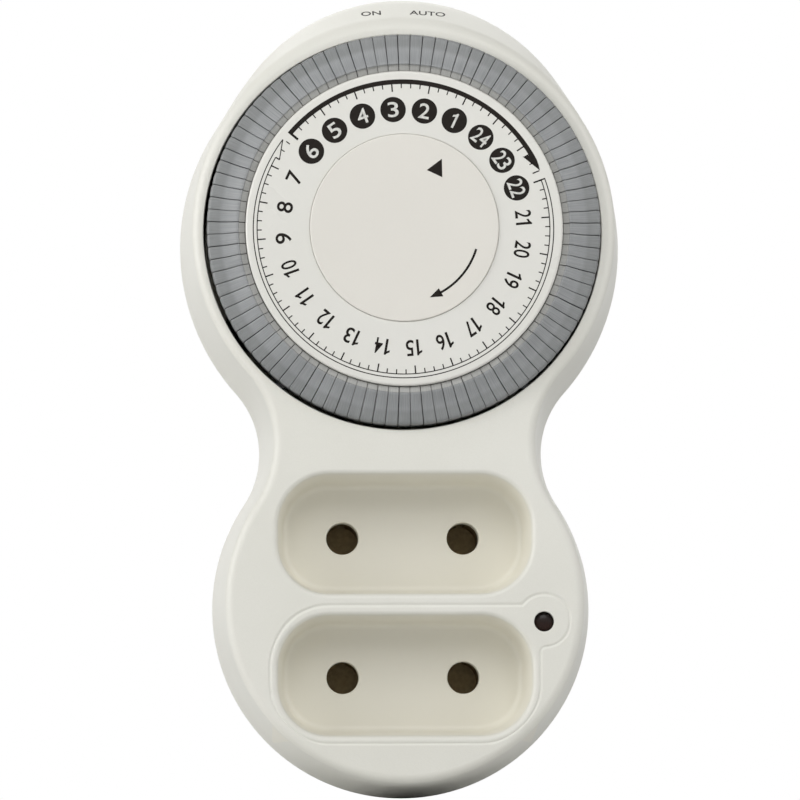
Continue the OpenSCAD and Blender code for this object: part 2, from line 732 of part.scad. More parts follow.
// The four trippers of one hour: a crowned head over a leg that runs in its slot.
module trippers(hour) color(grey) for (k = [0:trippers_per_hour - 1]) {
    middle = hour_one_angle - 15 * (hour - 1) - tripper_pitch * (k + 0.5);
    sweep = tripper_pitch - tripper_gap;
    turned(0, dial_height, [
        [drum_out + 0.2, head_front + 1], [drum_out + 1.1, head_front + 0.8], [drum_out + 1.4, head_front],
        [leg_out - 0.6, head_front], [tripper_ring_r - 0.5, head_front + 1.3],
        [tripper_ring_r, head_front + 1.9],
        [tripper_ring_r, head_back], [drum_out + 0.2, head_back]
    ], middle - sweep / 2, sweep);
    turned(0, dial_height, [
        [leg_in, leg_top], [leg_out, leg_top], [leg_out, leg_end], [leg_in, leg_end]
    ], middle - leg_angle / 2, leg_angle);
}

module idler_arbor() color(steel) drum(0, idler_z, arbor_r, gear_front, arbor_back);

module idler_gear() color("#e0ddd0") difference() {
    union() {
        gear(0, idler_z, idler_pinion_teeth, dial_module, 90, gear_front + 0.1, gear_front + gear_t);
        drum(0, idler_z, idler_neck_r, gear_front + gear_t - eps, wheel_front + eps);
        gear(0, idler_z, idler_wheel_teeth, motor_module, motor_direction + 180 / idler_wheel_teeth,
             wheel_front, wheel_back);
    }
    drum(0, idler_z, arbor_r + running_gap, gear_front - 1, wheel_back + 1);
}

module motor_pinion() color("#e0ddd0") {
    gear(pinion_x, pinion_z, motor_pinion_teeth, motor_module, motor_direction + 180,
         wheel_front - 0.1, wheel_back + 0.4);
    drum(pinion_x, pinion_z, shaft_r, wheel_back + 0.4 - eps, motor_front + 1.3);
}

module motor_can() color(steel) difference() {
    turned(motor_x, motor_z, [
        [0, motor_front], [motor_r - 0.6, motor_front], [motor_r, motor_front + 0.6], [motor_r, motor_back],
        [motor_r - motor_wall, motor_back], [motor_r - motor_wall, motor_front + motor_wall],
        [0, motor_front + motor_wall]
    ]);
    drum(pinion_x, pinion_z, shaft_r + running_gap, motor_front - 1, motor_front + 2);
}

module motor_cover() color(steel) {
    drum(motor_x, motor_z, motor_r - motor_wall, motor_back - motor_wall, motor_back);
    drum(motor_x, motor_z, rotor_pin_r, motor_front + motor_wall, motor_back - motor_wall + eps);
}

module motor_coil() color("#b5652e") turned(motor_x, motor_z, [
    [coil_in, coil_front], [motor_r - motor_wall, coil_front],
    [motor_r - motor_wall, motor_back - motor_wall], [coil_in, motor_back - motor_wall]
]);

module motor_rotor() color("#4a4a4a") turned(motor_x, motor_z, [
    [rotor_pin_r + running_gap, motor_front + 1.6], [rotor_r, motor_front + 1.6],
    [rotor_r, motor_back - motor_wall - play], [rotor_pin_r + running_gap, motor_back - motor_wall - play]
]);

// The leads reach from the side of the can to the neutral bar and to the live bar.
module motor_leads() color(black) {
    can_low = motor_z - sqrt(pow(motor_r, 2) - pow(pin_side - motor_lead_r - motor_left, 2));
    can_side = motor_x + sqrt(pow(motor_r, 2) - pow(motor_z - live_lead_z - motor_lead_r, 2));
    live_lead_depth = (switch_front + switch_back) / 2;
    wire([[-pin_side, motor_lead_depth, neutral_top - 1], [-pin_side, motor_lead_depth, can_low]],
         motor_lead_r);
    wire([[can_side, live_lead_depth, live_lead_z], [fixed_left, live_lead_depth, live_lead_z]],
         motor_lead_r);
}

module lever_pin() color(steel)
    translate([lever_x, lever_depth - stack_depth, dial_height - lug_far])
        cylinder(r = lever_pin_r, h = 2 * lug_far);

// An upright bar between two rounded ends, in x and depth, centred on the dial axis's height.
module lever_arm(a, ra, b, rb) {
    translate([0, -stack_depth, dial_height - lever_half_t]) linear_extrude(2 * lever_half_t) hull() {
        translate(a) circle(r = ra, $fn = 32);
        translate(b) circle(r = rb, $fn = 32);
    }
}

module switch_lever() color("#c8c5b8") difference() {
    union() {
        lever_arm([lever_x, lever_depth], barrel_r - 0.5, [nose_x, nose_depth], nose_r);
        lever_arm([lever_x, lever_depth], barrel_r - 0.3, [tail_x, tail_depth], nose_r);
        translate([lever_x, lever_depth - stack_depth, dial_height - barrel_half])
            cylinder(r = barrel_r, h = 2 * barrel_half);
    }
    translate([lever_x, lever_depth - stack_depth, dial_height - barrel_half - 1])
        cylinder(r = lever_pin_r + running_gap, h = 2 * barrel_half + 2);
}

module contact_blade() color("#b87333")
    block([blade_left, switch_front, blade_foot], [blade_right, switch_back, contact_z + contact_half]);

module contact_rivet(left) {
    translate([left, (switch_front + switch_back) / 2 - stack_depth, contact_z]) rotate([0, 90, 0])
        cylinder(r = 1.5, h = contact_t);
}

module moving_contact() color("silver") contact_rivet(blade_left - contact_t);

module fixed_contact() color("silver") contact_rivet(fixed_right);

// The slider runs down from the knob, steps across and ends beside the lever's tail.
module override_slider() color("#c8c5b8") slab(slider_front, slider_back) polygon([
    [knob_x - stem_half, knob_base], [knob_x - stem_half, bend_high], [push_x, bend_low],
    [push_x, dial_height - lever_half_t], [push_x + push_w, dial_height - lever_half_t],
    [push_x + push_w, bend_low + push_w], [knob_x + stem_half, bend_high + 2 * push_w],
    [knob_x + stem_half, knob_base]
]);

module override_knob() color(white) {
    front = slider_front - knob_overhang;
    back = slider_back + knob_overhang;
    block([knob_x - knob_half, front, knob_base], [knob_x + knob_half, back, knob_base + knob_plate_t]);
    for (k = [-2:2]) let (x = knob_x + k * rib_pitch)
        block([x - rib_half, front, knob_base + knob_plate_t - eps],
              [x + rib_half, back, knob_base + knob_h]);
}

front_housing();
rear_housing();
housing_screws();
plug_pins();
socket_contacts();
neutral_bar();
switched_bar();
live_bar();
lamp_lens();
neon_lamp();
lamp_resistor();
lamp_leads();
mechanism_plate();
plate_screws();
dial_axle();
centre_cap();
idler_arbor();
lever_pin();
motor_can();
motor_cover();
motor_coil();
motor_leads();
motor_rotor();
motor_pinion();
idler_gear();
contact_blade();
moving_contact();
fixed_contact();
number_disc();
tripper_carrier();
dial_gear();
switch_lever();
override_slider();
override_knob();
for (h = [1:24]) trippers(h);
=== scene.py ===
import math
import random
import bmesh
import bpy
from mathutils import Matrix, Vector, geometry
from mathutils.bvhtree import BVHTree


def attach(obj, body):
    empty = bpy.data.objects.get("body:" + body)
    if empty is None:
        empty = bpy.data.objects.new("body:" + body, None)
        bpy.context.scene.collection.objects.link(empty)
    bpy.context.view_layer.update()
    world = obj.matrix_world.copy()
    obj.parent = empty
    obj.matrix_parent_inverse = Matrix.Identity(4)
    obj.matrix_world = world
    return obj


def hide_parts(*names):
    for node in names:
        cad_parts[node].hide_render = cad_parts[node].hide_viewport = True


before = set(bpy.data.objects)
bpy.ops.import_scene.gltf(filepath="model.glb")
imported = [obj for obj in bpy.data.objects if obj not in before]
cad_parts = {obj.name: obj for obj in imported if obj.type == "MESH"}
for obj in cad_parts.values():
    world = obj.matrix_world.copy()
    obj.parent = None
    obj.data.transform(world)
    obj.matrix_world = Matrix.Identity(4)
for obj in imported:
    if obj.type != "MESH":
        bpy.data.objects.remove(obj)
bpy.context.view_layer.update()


# Front housing: one injection moulding of warm white ABS with a fine spark-eroded skin. It carries
# the dial opening, the two socket wells, the groove round the lower well and the lamp's window, and
# the five screws from behind hold it.
MM = 0.001            # sizes are in millimetres: x across, depth behind the front face, z up
STACK = 52.6          # depth of the boss end face
FRONT, WALL = 22.6, 2.0                           # depth of the seam, thickness of the wall
DIAL_Z = 58.1                                     # the dial's axis above the sockets' axis
DIAL_R, SOCKET_R, WAIST_R = 35.3, 30.1, 14.7
CROWN_R, CROWN_RISE, CROWN_BEVEL = 31.1, 8.0, 5.5
DRAFT, EDGE = 2.2, 1.35                           # lean of the side walls, rounding of the front
SEAM_IN, SEAM_DEEP = 0.18, 0.2                    # bevel on each housing where the two meet
OPENING_R, OPENING_X, OPENING_Z, OPENING_LIP = 31.05, -0.2, 57.84, 0.16
WELL_Z = (10.65, -11.25)
WELL_W, WELL_H, WELL_CORNER, WELL_RIM = 39.4, 18.6, 8.0, 0.75
WELL_DEPTH, WELL_DRAFT, WELL_WALL, WELL_FOOT = 12.0, 0.8, 0.9, 1.0
PIN_SIDE, PIN_HOLE_R, PIN_HOLE_LIP, COLLAR_R, COLLAR_BACK = 9.5, 2.53, 0.15, 4.43, 16.0
LAMP_X, LAMP_Z, LAMP_R, LAMP_LIP = 21.5, -3.0, 1.55, 0.12
GUARD = 0.03          # a flat strip beside each rounding keeps the face flat to the light
WELD = 1e-7           # points nearer than this are one

# Where the arcs of the case meet, seen from the front.
WAIST_Z = (DIAL_Z ** 2 + (SOCKET_R + WAIST_R) ** 2 - (DIAL_R + WAIST_R) ** 2) / (2 * DIAL_Z)
WAIST_X = math.sqrt((SOCKET_R + WAIST_R) ** 2 - WAIST_Z ** 2)
LOW = math.atan2(WAIST_Z, WAIST_X)
HIGH = math.atan2(WAIST_Z - DIAL_Z, WAIST_X)
CROWN = math.pi / 2 - math.acos((DIAL_R - CROWN_R) / CROWN_RISE)


class Value:
    """A number or colour that varies over a surface. Arithmetic on it adds the Math nodes."""

    def __init__(self, nodes, socket):
        self.nodes, self.socket = nodes, socket

    def math(self, operation, *terms):
        return self.nodes.node("ShaderNodeMath", {"operation": operation}, dict(enumerate(terms)))

    def __add__(self, other):
        return self.math("ADD", self, other)

    __radd__ = __add__

    def __sub__(self, other):
        return self.math("SUBTRACT", self, other)

    def __rsub__(self, other):
        return self.math("SUBTRACT", other, self)

    def __mul__(self, other):
        return self.math("MULTIPLY", self, other)

    __rmul__ = __mul__

    def __abs__(self):
        return self.math("ABSOLUTE", self)

    def between(self, low, high):
        """0 below low, 1 above high."""
        return self.nodes.node("ShaderNodeMapRange", {"interpolation_type": "SMOOTHSTEP"},
                               {"Value": self, "From Min": low, "From Max": high})

    def colours(self, at_zero, at_one):
        """The colour between two, by this value."""
        ends = [c if isinstance(c, Value) else (*c, 1) for c in (at_zero, at_one)]
        return self.nodes.node("ShaderNodeMix", {"data_type": "RGBA"},
                               {0: self, 6: ends[0], 7: ends[1]}, 2)


class Nodes:
    """The nodes of a material or of the world."""

    def __init__(self, owner):
        owner.use_nodes = True
        self.tree = owner.node_tree

    def node(self, kind, settings=None, values=None, out=0):
        """Adds a node with its settings, then gives its sockets their constants or Values."""
        made = self.tree.nodes.new(kind)
        for name, value in (settings or {}).items():
            setattr(made, name, value)
        for name, value in (values or {}).items():
            self.put(made.inputs[name], value)
        return Value(self, made.outputs[out])

    def put(self, socket, value):
        if isinstance(value, Value):
            self.tree.links.new(value.socket, socket)
        else:
            socket.default_value = value


class Finish(Nodes):
    """A material with one Principled shader, whose sockets take constants or Values."""

    def __init__(self, name):
        self.material = bpy.data.materials.new(name)
        super().__init__(self.material)
        self.shader = self.tree.nodes["Principled BSDF"]
        self.place = self.node("ShaderNodeTexCoord", out="Object")

    def set(self, **sockets):
        """Sets or links the shader's sockets, with _ for each space in a name."""
        for name, value in sockets.items():
            if isinstance(value, tuple) and len(value) == 3:
                value = (*value, 1)
            self.put(self.shader.inputs[name.replace("_", " ")], value)

    def along(self, axis):
        """The place on one axis, in metres."""
        return self.node("ShaderNodeSeparateXYZ", values={"Vector": self.place}, out=axis)

    def noise(self, scale, detail=3, stretch=None):
        place = self.place
        if stretch:
            place = self.node("ShaderNodeVectorMath", {"operation": "MULTIPLY"},
                              {0: place, 1: stretch})
        return self.node("ShaderNodeTexNoise",
                         values={"Vector": place, "Scale": scale, "Detail": detail})

    def bump(self, height, distance, strength=1):
        self.set(Normal=self.node("ShaderNodeBump", values={
            "Height": height, "Distance": distance, "Strength": strength}))


def tint(red, green, blue):
    """A colour written as 0 to 255, as the shader takes it."""
    shares = (part / 255 for part in (red, green, blue))
    return tuple(s / 12.92 if s < 0.04045 else ((s + 0.055) / 1.055) ** 2.4 for s in shares)


def inside_wells(finish):
    """1 in the wells and down to the back of their collars, 0 over the rest of the case: where the
    warm light bounced in the wells is painted.
    """
    x, depth, z = (finish.along(axis) for axis in "XYZ")
    starts, full = 0.2 - STACK, 2.6 - STACK
    fades, gone = COLLAR_BACK + 0.2 - STACK, COLLAR_BACK + 0.4 - STACK
    side, end, soft = WELL_W / 2 + 1.0, WELL_H / 2 - WELL_Z[1] + 0.95, 0.3
    return (depth.between(starts * MM, full * MM)
            * (1 - depth.between(fades * MM, gone * MM))
            * (1 - abs(x).between((side - soft) * MM, side * MM))
            * (1 - abs(z).between((end - soft) * MM, end * MM)))


def moulded(name, colour, shade, rough=0.42, grain=0.000012, painted_well_bounce=None):
    """Injection-moulded plastic: a fine eroded skin, slow clouds of colour and handling sheen. A
    warmer colour can be painted into the wells for the warm light bounced between their walls.
    """
    finish = Finish(name)
    cloud = finish.noise(38, 2)
    skin = finish.noise(5200, 2)
    mixed = (cloud * 0.7 + skin * 0.3).between(0.3, 0.7).colours(shade, colour)
    if painted_well_bounce:
        mixed = inside_wells(finish).colours(mixed, painted_well_bounce)
    finish.set(Base_Color=mixed, Roughness=finish.noise(90, 3) * 0.16 + (rough - 0.08), IOR=1.52)
    finish.bump(skin, grain)
    return finish.material


def add(name, data):
    """A new object in the scene."""
    made = bpy.data.objects.new(name, data)
    bpy.context.scene.collection.objects.link(made)
    return made


def mesh_of(name, points, faces):
    """A mesh in the frame's metres, from (x, depth, z) points in millimetres."""
    mesh = bpy.data.meshes.new(name)
    mesh.from_pydata([(x * MM, (d - STACK) * MM, z * MM) for x, d, z in points], [], faces)
    return mesh


def smoothed(mesh, degrees=32):
    """Shades a mesh smooth, apart from edges sharper than the angle."""
    mesh.shade_smooth()
    mesh.set_sharp_from_angle(angle=math.radians(degrees))


class Solid:
    """Collects loops of points and the faces between them, then makes one piece."""

    def __init__(self):
        self.points, self.faces = [], []

    def loop(self, ring, depth):
        """A closed ring of (x, z) points, anticlockwise from the front, at one depth or several."""
        start = len(self.points)
        for i, (x, z) in enumerate(ring):
            self.points.append((x, depth[i] if isinstance(depth, list) else depth, z))
        return list(range(start, len(self.points)))

    def skin(self, *loops):
        """The faces from each loop to the next."""
        for a, b in zip(loops, loops[1:]):
            n = len(a)
            self.faces += [(a[i], b[i], b[(i + 1) % n], a[(i + 1) % n]) for i in range(n)]

    def plate(self, outer, *holes):
        """A flat face inside one loop and round the others."""
        loops = (outer, *holes)
        ids = [i for loop in loops for i in loop]
        flat = [Vector((self.points[i][0], self.points[i][2])) for i in ids]
        edges, at = [], 0
        for loop in loops:
            edges += [(at + i, at + (i + 1) % len(loop)) for i in range(len(loop))]
            at += len(loop)
        _, _, triangles, origin, _, _ = geometry.delaunay_2d_cdt(flat, edges, [], 0, WELD)
        for triangle in triangles:
            corners = [ids[origin[v][0]] for v in triangle]
            middle = [sum(self.points[i][k] for i in corners) / 3 for k in (0, 2)]
            within = [self.holds(loop, *middle) for loop in loops]
            if within[0] and not any(within[1:]):
                self.faces.append(tuple(corners))

    def holds(self, loop, x, z):
        """Whether (x, z) lies inside a loop."""
        inside = False
        for i, j in zip(loop, loop[-1:] + loop[:-1]):
            (xa, _, za), (xb, _, zb) = self.points[i], self.points[j]
            if (za > z) != (zb > z) and x < xa + (xb - xa) * (z - za) / (zb - za):
                inside = not inside
        return inside

    def hole(self, x, z, lip, face, stations, steps, sides):
        """A round hole through (radius, depth) stations with a rounded mouth. Gives its ends."""
        r = stations[0][0]
        rings = [self.loop(circle(x, z, r + lip + GUARD, sides), face)]
        rings += [self.loop(circle(x, z, r + o, sides), face + d) for o, d in rounded(lip, steps)]
        rings += [self.loop(circle(x, z, radius, sides), depth) for radius, depth in stations]
        self.skin(*rings)
        return rings[0], rings[-1]

    def turned(self, x, z, profile, sides, start=0.0, sweep=math.tau):
        """A closed profile of (radius, depth) turned about a depth axis at (x, z)."""
        whole = sweep == math.tau
        count = sides if whole else sides + 1
        rows = []
        for k in range(count):
            a = start + sweep * k / sides
            rows.append([])
            for i, (r, d) in enumerate(profile):
                if r == 0 and k:
                    rows[-1].append(rows[0][i])
                else:
                    self.points.append((x + r * math.sin(a), d, z + r * math.cos(a)))
                    rows[-1].append(len(self.points) - 1)
        n = len(profile)
        for k in range(count if whole else count - 1):
            a, b = rows[k], rows[(k + 1) % count]
            for i in range(n):
                face = tuple(dict.fromkeys((a[i], a[(i + 1) % n], b[(i + 1) % n], b[i])))
                if len(face) > 2:
                    self.faces.append(face)
        if not whole:
            self.faces += [tuple(rows[0]), tuple(reversed(rows[-1]))]

    def piece(self, name, body, slot, material, replaced=(), smooth=32):
        """Makes the faces one closed piece that rides on a body, in place of the CAD nodes."""
        mesh = mesh_of(name, self.points, self.faces)
        shape = bmesh.new()
        shape.from_mesh(mesh)
        bmesh.ops.remove_doubles(shape, verts=shape.verts, dist=WELD)
        bmesh.ops.recalc_face_normals(shape, faces=shape.faces)
        shape.to_mesh(mesh)
        shape.free()
        smoothed(mesh, smooth)
        mesh.materials.append(material)
        made = add(name, mesh)
        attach(made, body)
        if replaced:
            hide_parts(*replaced)
        return made


def arc(x, z, r, start, end, steps):
    """Points of an arc, without its last."""
    turns = [start + (end - start) * i / steps for i in range(steps)]
    return [(x + r * math.cos(q), z + r * math.sin(q)) for q in turns]


def circle(x, z, r, sides=64):
    return arc(x, z, r, 0, math.tau, sides)


def rounded(radius, steps):
    """A quarter round from a face to a side, as steps of (how far in, how deep)."""
    turns = [math.radians(90 * i / steps) for i in range(steps + 1)]
    return [(radius * (1 - math.sin(q)), radius * (1 - math.cos(q))) for q in turns]


def outline(inset, rise):
    """The case seen from the front, inset all round. The crown stands up as rise goes to 1."""
    shrunk = DIAL_R - (DIAL_R - CROWN_R) * rise
    half = (arc(0, 0, SOCKET_R - inset, -math.pi / 2, LOW, 56)
            + arc(WAIST_X, WAIST_Z, WAIST_R + inset, LOW + math.pi, HIGH + math.pi, 26)
            + arc(0, DIAL_Z, DIAL_R - inset, HIGH, CROWN, 36)
            + arc(0, DIAL_Z + CROWN_RISE * rise, shrunk - inset, CROWN, math.pi / 2, 30))
    top = [(0, DIAL_Z + DIAL_R + (CROWN_RISE + CROWN_R - DIAL_R) * rise - inset)]
    return half + top + [(-x, z) for x, z in reversed(half[1:])]


def side_inset(depth):
    """How far in the draft puts the side wall."""
    return DRAFT * (1 - (depth - EDGE) / (FRONT - EDGE))


def crown_share(depth):
    """How far up the bevel the crown's edge stands, from 0 to 1 with a soft end."""
    soft = 1.0
    if depth < CROWN_BEVEL - soft:
        return max(0.0, depth / CROWN_BEVEL)
    return 1 - max(0.0, CROWN_BEVEL + soft - depth) ** 2 / (4 * soft * CROWN_BEVEL)


def well_ring(z, grow):
    """A well's mouth, grown all round."""
    r, x, h = WELL_CORNER + grow, WELL_W / 2 - WELL_CORNER, WELL_H / 2 - WELL_CORNER
    ring = []
    for k, (cx, cz) in enumerate(((x, z - h), (x, z + h), (-x, z + h), (-x, z - h))):
        end = k * math.pi / 2
        ring += arc(cx, cz, r, (k - 1) * math.pi / 2, end, 14)
        ring.append((cx + r * math.cos(end), cz + r * math.sin(end)))
    return ring


def groove_path():
    """The line round the lower well and the lamp, with small fillets where the two meet."""
    away, boss, fillet = 1.07, 3.8, 1.0
    w, h, r, zc = WELL_W / 2 + away, WELL_H / 2 + away, WELL_CORNER + away, WELL_Z[1]
    reach = boss + fillet
    side = (w + fillet, LAMP_Z - math.sqrt(reach ** 2 - (w + fillet - LAMP_X) ** 2))
    top_z = zc + h + fillet
    top = (LAMP_X - math.sqrt(reach ** 2 - (top_z - LAMP_Z) ** 2), top_z)
    to_side = math.atan2(side[1] - LAMP_Z, side[0] - LAMP_X)
    to_top = math.atan2(top[1] - LAMP_Z, top[0] - LAMP_X)
    x, z = w - r, h - r
    return (arc(x, zc - z, r, -math.pi / 2, 0, 14)
            + [(w, zc - z)]
            + arc(*side, fillet, math.pi, to_side + math.pi, 6)
            + arc(LAMP_X, LAMP_Z, boss, to_side, to_top, 26)
            + arc(*top, fillet, to_top - math.pi, -math.pi / 2, 6)
            + [(top[0], zc + h)]
            + arc(-x, zc + z, r, math.pi / 2, math.pi, 14)
            + [(-w, zc + z)]
            + arc(-x, zc - z, r, math.pi, 3 * math.pi / 2, 14)
            + [(-x, zc - h)])


def offset(ring, steps):
    """The ring moved outwards, each point by its own step."""
    moved, n = [], len(ring)
    for i, ((x, z), step) in enumerate(zip(ring, steps)):
        ax, az = ring[i - 1]
        bx, bz = ring[(i + 1) % n]
        near = Vector((x - ax, z - az)).normalized()
        far = Vector((bx - x, bz - z)).normalized()
        along = (near + far).normalized()
        moved.append((x + along.y * step, z - along.x * step))
    return moved


# The warmer colour inside the wells is painted light, standing for the warm light bounced between
# their walls.
housing_white = moulded("housing_white", tint(228, 227, 219), tint(223, 222, 213), 0.46,
                        painted_well_bounce=tint(230, 227, 215))
case = Solid()
outer = [case.loop(outline(DRAFT + EDGE + GUARD, 0), 0)]
outer += [case.loop(outline(DRAFT + inwards, crown_share(depth)), depth)
          for inwards, depth in rounded(EDGE, 8)]
SIDE_DEPTHS = (2.6, 3.6, 4.5, 4.9, 5.3, 5.7, 6.1, 6.5, 9, 13, 18, FRONT - SEAM_DEEP)
outer += [case.loop(outline(side_inset(depth), crown_share(depth)), depth)
          for depth in SIDE_DEPTHS]
outer.append(case.loop(outline(SEAM_IN, 1), FRONT))
inner = [case.loop(outline(WALL + side_inset(d) + more, crown_share(max(0, d - WALL))), d)
         for d, more in ((FRONT, 0), (14, 0), (WALL + CROWN_BEVEL, 0), (WALL + 2, 0), (WALL, -0.3))]
case.skin(*outer, *inner)
opening, opening_back = case.hole(OPENING_X, OPENING_Z, OPENING_LIP, 0, [(OPENING_R, WALL)],
                                  4, 240)

front_rims, back_rims = [], []
for z in WELL_Z:
    rings = [case.loop(well_ring(z, WELL_RIM + GUARD), 0)]
    rings += [case.loop(well_ring(z, o), d) for o, d in rounded(WELL_RIM, 8)]
    rings += [case.loop(well_ring(z, -WELL_DRAFT * d / WELL_DEPTH), d) for d in (4, 8, 11)]
    rings += [case.loop(well_ring(z, -WELL_DRAFT - d), WELL_DEPTH - o)
              for o, d in rounded(WELL_FOOT, 6)[1:]]
    rings.append(case.loop(well_ring(z, -WELL_DRAFT - WELL_FOOT - GUARD), WELL_DEPTH))
    case.skin(*rings)
    pin_holes = [case.hole(side * PIN_SIDE, z, PIN_HOLE_LIP, WELL_DEPTH, [
        (PIN_HOLE_R, COLLAR_BACK), (COLLAR_R, COLLAR_BACK), (COLLAR_R, WELL_DEPTH + WELL_WALL)],
        3, 64) for side in (-1, 1)]
    case.plate(rings[-1], *[mouth for mouth, _ in pin_holes])
    back = [case.loop(well_ring(z, WELL_WALL - WELL_DRAFT), WELL_DEPTH + WELL_WALL),
            case.loop(well_ring(z, WELL_WALL), WALL)]
    case.plate(back[0], *[collar for _, collar in pin_holes])
    case.skin(*back)
    front_rims.append(rings[0])
    back_rims.append(back[-1])

lamp_window, lamp_back = case.hole(LAMP_X, LAMP_Z, LAMP_LIP, 0, [(LAMP_R, WALL)], 3, 48)

# The groove moves out and widens along its top, as far as the flat of the face leaves it room.
FLAT_R, CLEAR, ROOM_USED = 26.5, 0.27, 0.25
GROOVE_OUT, GROOVE_MORE_OUT, TOP_FROM, TOP_LONG = 0.15, 0.3, -6, 4
GROOVE_HALF, GROOVE_MORE_HALF, WIDENS, GROOVE_DEEP = 0.22, 0.2, 0.8, 0.35
GROOVE_ACROSS = (1.1, 1, 0.8, 0.6, 0.4, 0.2, 0, -0.2, -0.4, -0.6, -0.8, -1, -1.1)
path = groove_path()
shift = [min(GROOVE_OUT + GROOVE_MORE_OUT * max(0, min(1, (z - TOP_FROM) / TOP_LONG)),
             max(0, (FLAT_R - math.hypot(x, z) - CLEAR) * ROOM_USED)) for x, z in path]
half_wide = [GROOVE_HALF + min(GROOVE_MORE_HALF, WIDENS * by) for by in shift]
path = offset(path, shift)
groove = []
for across in GROOVE_ACROSS:
    deep = GROOVE_DEEP * (0.5 + 0.5 * math.cos(math.pi * across)) if abs(across) < 1 else 0
    groove.append(case.loop(offset(path, [across * by for by in half_wide]),
                            [deep * by for by in half_wide]))
case.skin(*groove)

case.plate(outer[0], opening, front_rims[0], groove[0])
case.plate(groove[-1], front_rims[1], lamp_window)
case.plate(inner[-1], opening_back, *back_rims, lamp_back)
front_housing = case.piece("front_housing_shell", "case", "housing_white", housing_white,
                           ["front_housing"])


# Slot for the override slider: moulded straight through the top wall of the front housing, just
# behind the crown's bevel, with a shallow flat recess round it that the knob slides in.
def cut(piece, *cutters, operation="DIFFERENCE"):
    """Takes the cutters out of a piece for good, or joins them to it."""
    for cutter in cutters:
        change = piece.modifiers.new("cut", "BOOLEAN")
        change.object, change.operation, change.solver = cutter, operation, "EXACT"
    bpy.context.view_layer.update()
    seen = piece.evaluated_get(bpy.context.evaluated_depsgraph_get())
    result = bpy.data.meshes.new_from_object(seen)
    piece.modifiers.clear()
    piece.data = result
    smoothed(result)
    for cutter in cutters:
        bpy.data.objects.remove(cutter)


def cuboid(low, high):
    """A cutter between two corners, as (x, depth, z)."""
    points = [(x, d, z) for x in (low[0], high[0]) for d in (low[1], high[1])
              for z in (low[2], high[2])]
    faces = [(0, 1, 3, 2), (4, 6, 7, 5), (0, 4, 5, 1), (2, 3, 7, 6), (0, 2, 6, 4), (1, 5, 7, 3)]
    return add("cutter", mesh_of("cutter", points, faces))


KNOB_X, SLIDER_FRONT, SLIDER_BACK, TRAVEL = -2.7, 15.2, 17.4, 4.0
CROWN_TOP = DIAL_Z + CROWN_RISE + CROWN_R
KNOB_LAND = 95.816    # height of the recess that the knob slides in
STEM_SLOT, KNOB_RECESS = (2.4, 0.3, CROWN_TOP - 6), (4.4, 1.9, KNOB_LAND)
cut(front_housing, *[
    cuboid((KNOB_X - half, SLIDER_FRONT - room, bottom),
           (KNOB_X + half + TRAVEL, SLIDER_BACK + room, CROWN_TOP + 2))
    for half, room, bottom in (STEM_SLOT, KNOB_RECESS)])


# Rear housing: the same white plastic, with a rounded back edge and the round plug boss moulded on.
# Five deep cups take the screws, and two slots in the boss clear the wall socket's earth clips.
CASE = 35.6           # depth of the flat back
BOSS_R, SLOT_W, SLOT_Z, PLUG_R = 18.5, 7.2, 6.8, 2.4
REAR_STEP, REAR_DRAFT, REAR_EDGE, BOSS_FOOT, BOSS_EDGE = 0.25, 0.75, 3.0, 0.6, 0.5
SCREWS = [(25.461, 43.4), (-25.461, 43.4), (16.454, 27.108), (-16.454, 27.108), (0, -25.7)]
SCREW_SEAT = 29.6     # depth that the screws' heads sit at


def boss_ring(inset):
    """The boss end with an earth slot in from the top and one from the bottom."""
    r, half, bottom = BOSS_R - inset, SLOT_W / 2 + inset, SLOT_Z + SLOT_W / 2
    quarter = arc(0, 0, r, 0, math.pi / 2 - math.asin(half / r), 36)
    slot = arc(0, bottom, half, 0, -math.pi, 18)[:10]
    right = quarter + [(half, math.sqrt(r * r - half * half)), (half, bottom + 2)] + slot[:-1]
    upper = right + slot[-1:] + [(-x, z) for x, z in reversed(right[1:])] + [(-r, 0)]
    return upper + [(-x, -z) for x, z in upper[1:-1]]


rear = Solid()
REAR_IN, REAR_SIDE = REAR_STEP + REAR_DRAFT, CASE - REAR_EDGE - FRONT
shell = [rear.loop(outline(REAR_STEP + SEAM_IN, 1), FRONT),
         rear.loop(outline(REAR_STEP, 1), FRONT + SEAM_DEEP)]
shell += [rear.loop(outline(REAR_STEP + REAR_DRAFT * (d - FRONT) / REAR_SIDE, 1), d)
          for d in (25, 28, 31)]
shell += [rear.loop(outline(REAR_IN + d, 1), CASE - o) for o, d in rounded(REAR_EDGE, 8)]
shell.append(rear.loop(outline(REAR_IN + REAR_EDGE + GUARD, 1), CASE))
inside = [rear.loop(outline(REAR_STEP + WALL + more, 1), d)
          for d, more in ((CASE - WALL, 2), (CASE - WALL - 1.6, 0.9), (FRONT, 0))]
rear.skin(*inside, *shell)
boss = [rear.loop(boss_ring(-BOSS_FOOT - GUARD), CASE)]
boss += [rear.loop(boss_ring(-o), CASE + d) for o, d in rounded(BOSS_FOOT, 6)]
boss += [rear.loop(boss_ring(d), STACK - o) for o, d in rounded(BOSS_EDGE, 6)]
boss.append(rear.loop(boss_ring(BOSS_EDGE + GUARD), STACK))
rear.skin(*boss)
rear.plate(shell[-1], boss[0])
rear.plate(boss[-1])
rear.plate(inside[0])
rear_housing = rear.piece("rear_housing_shell", "case", "housing_white", housing_white,
                          ["rear_housing"])


def rod(x, z, stations, sides=48):
    """A closed turned cutter through (radius, depth) stations."""
    points, faces = [], []
    turns = [math.tau * k / sides for k in range(sides)]
    for r, d in stations:
        points += [(x + r * math.sin(q), d, z + r * math.cos(q)) for q in turns]
    for s in range(len(stations) - 1):
        a, b = s * sides, (s + 1) * sides
        for k in range(sides):
            after = (k + 1) % sides
            faces.append((a + k, a + after, b + after, b + k))
    last = (len(stations) - 1) * sides
    faces += [tuple(reversed(range(sides))), tuple(range(last, last + sides))]
    return add("cutter", mesh_of("cutter", points, faces))


